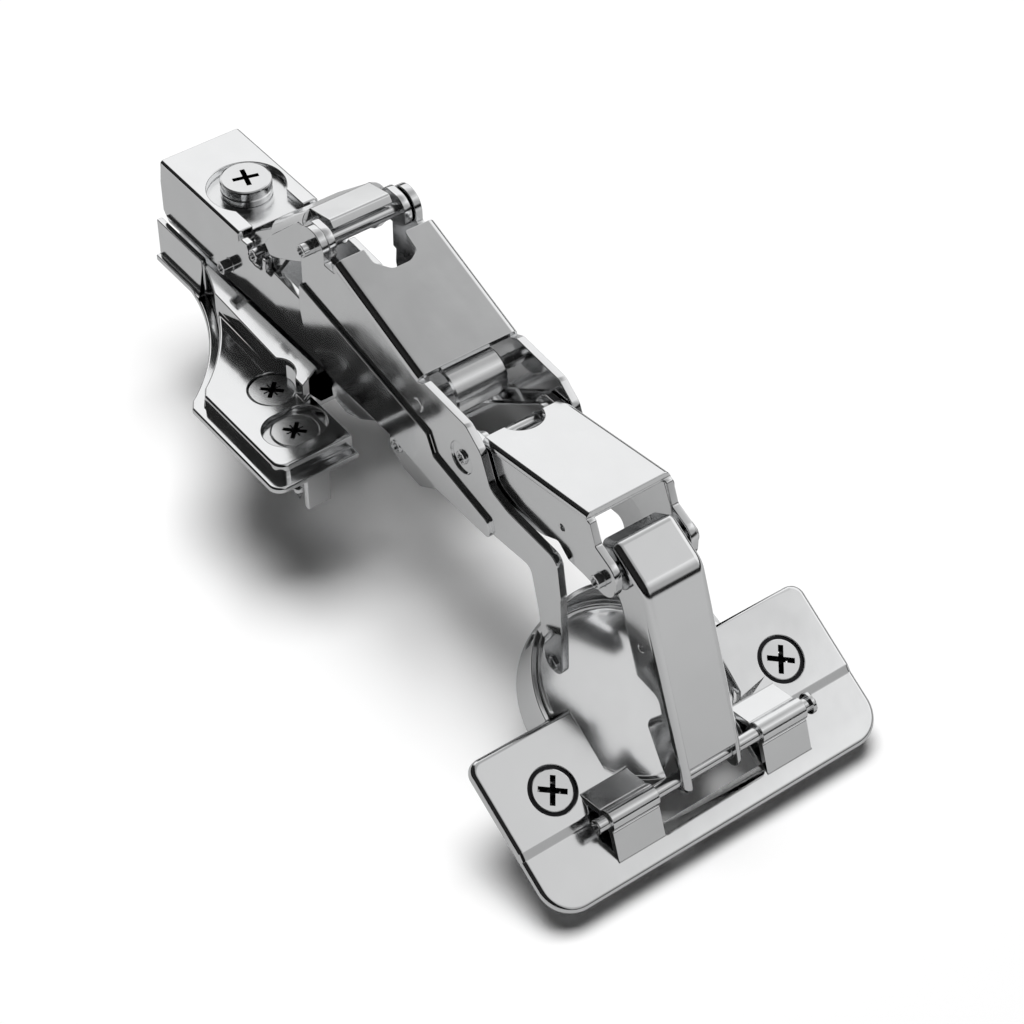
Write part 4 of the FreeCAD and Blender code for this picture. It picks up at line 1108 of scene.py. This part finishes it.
threaded_screws("panel_screws", UP, PANEL_SHANK_RADIUS, PANEL_NECK, False,
                PANEL_CROSS_REACH, PANEL_CROSS_TURN)
cup_neck = separate_solids("cup_screws", ON_FLANGE)[0][1].z - CUP_SCREW_SEAT
threaded_screws("cup_screws", ON_FLANGE, CUP_SHANK_RADIUS, cup_neck, True,
                CUP_CROSS_REACH, CUP_CROSS_TURN)

# %% [markdown]
# ## Fixing screw
#
# The big screw on top of the arm clamps it at its depth. Its head is a drum
# with a rounded rim and a plain cross, and a fine machine thread runs along
# its shank up to the washer.

# %% Turn the fixing screw
DRUM_EDGE = 0.4 * MM
DRUM_CHAMFER = 0.2 * MM
FIXING_SHANK = 2.0 * MM
FIXING_POINT = 0.8
FIXING_PITCH = 1.0 * MM
FIXING_THREAD = 0.3 * MM
RINGS_PER_MM = 6
DRUM_CROSS_REACH = 2.6 * MM
DRUM_CROSS_TURN = math.radians(-16)

low, high = separate_solids("fixing_screw", UP)[0]
drum_middle, drum_radius = middle_and_radius(low, high)
drum_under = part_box("screw_washer")[1].z
drum_rings = [(low.z, TINY_RING, 0, 0), (low.z, FIXING_SHANK * FIXING_POINT, 0, 0)]
shank_steps = int((drum_under - low.z) / MM * RINGS_PER_MM)
for step in range(1, shank_steps):
    along = low.z + (drum_under - low.z) * step / shank_steps
    drum_rings.append((along, FIXING_SHANK, 0, FIXING_THREAD))
drum_rings += [
    (drum_under, FIXING_SHANK, 0, 0),
    (drum_under, drum_radius - DRUM_CHAMFER, 0, 0),
    (drum_under + DRUM_CHAMFER, drum_radius, 0, 0),
]
drum_rings += eased_rim(high.z, -1, drum_radius, DRUM_EDGE)[::-1]
drum_rings.append((high.z, TINY_RING, 0, 0))
drum = turned_piece("fixing_screw_turned", [(spin(drum_rings, FIXING_PITCH), drum_middle)], UP,
                    screw_steel)
drum_top = Vector((drum_middle.x, drum_middle.y, high.z))
cut_recess(drum, [drum_top], DRUM_CROSS_REACH, DRUM_CROSS_TURN, False)
dress(drum, "fixing_screw")

# %% [markdown]
# ## Washer
#
# The washer under the fixing screw is a flat ring, so it is a very short tube
# on the same axis.

# %% Turn the washer
WASHER_CHAMFER = 0.2 * MM

low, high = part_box("screw_washer")
washer_radius = middle_and_radius(low, high)[1]
washer_rings = tube_rings(low.z, high.z, FIXING_SHANK, washer_radius, WASHER_CHAMFER)
washer = turned_piece("screw_washer_turned", [(spin(washer_rings, closed=True), drum_middle)],
                      UP, screw_steel)
dress(washer, "screw_washer")

# %% [markdown]
# ## Hidden rivets
#
# Two rivets hold the carrier down inside the arm. Their heads are flat domes,
# given by shares of the head's thickness and radius.

# %% Turn the rivets
RIVET_SHANK = 2.0 * MM
RIVET_HEAD_THICK = 1.0 * MM
DOME_SHAPE = ((0.5, 0.94), (0.15, 0.7), (0.0, 0.35))

rivets = []
for low, high in separate_solids("carrier_rivets", UP):
    middle, head_radius = middle_and_radius(low, high)
    under = high.z - RIVET_HEAD_THICK
    rings = [
        (low.z, TINY_RING, 0, 0),
        (low.z, RIVET_SHANK, 0, 0),
        (under, RIVET_SHANK, 0, 0),
        (under, head_radius, 0, 0),
    ]
    rings += [(high.z - RIVET_HEAD_THICK * below, head_radius * wide, 0, 0)
              for below, wide in DOME_SHAPE]
    rings.append((high.z, TINY_RING, 0, 0))
    rivets.append((spin(rings), middle))
domed = turned_piece("carrier_rivets_domed", rivets, UP, inner_zinc)
dress(domed, "carrier_rivets")

# %% [markdown]
# ## Finish
#
# The dressed hinge has to stay as large as the CAD one, so its box is printed,
# to stand beside the CAD box printed at the start.

# %% Write the sizes and finish
low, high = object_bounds()
print("dressed box in mm:", [round((b - a) / MM, 1) for a, b in zip(low, high)])
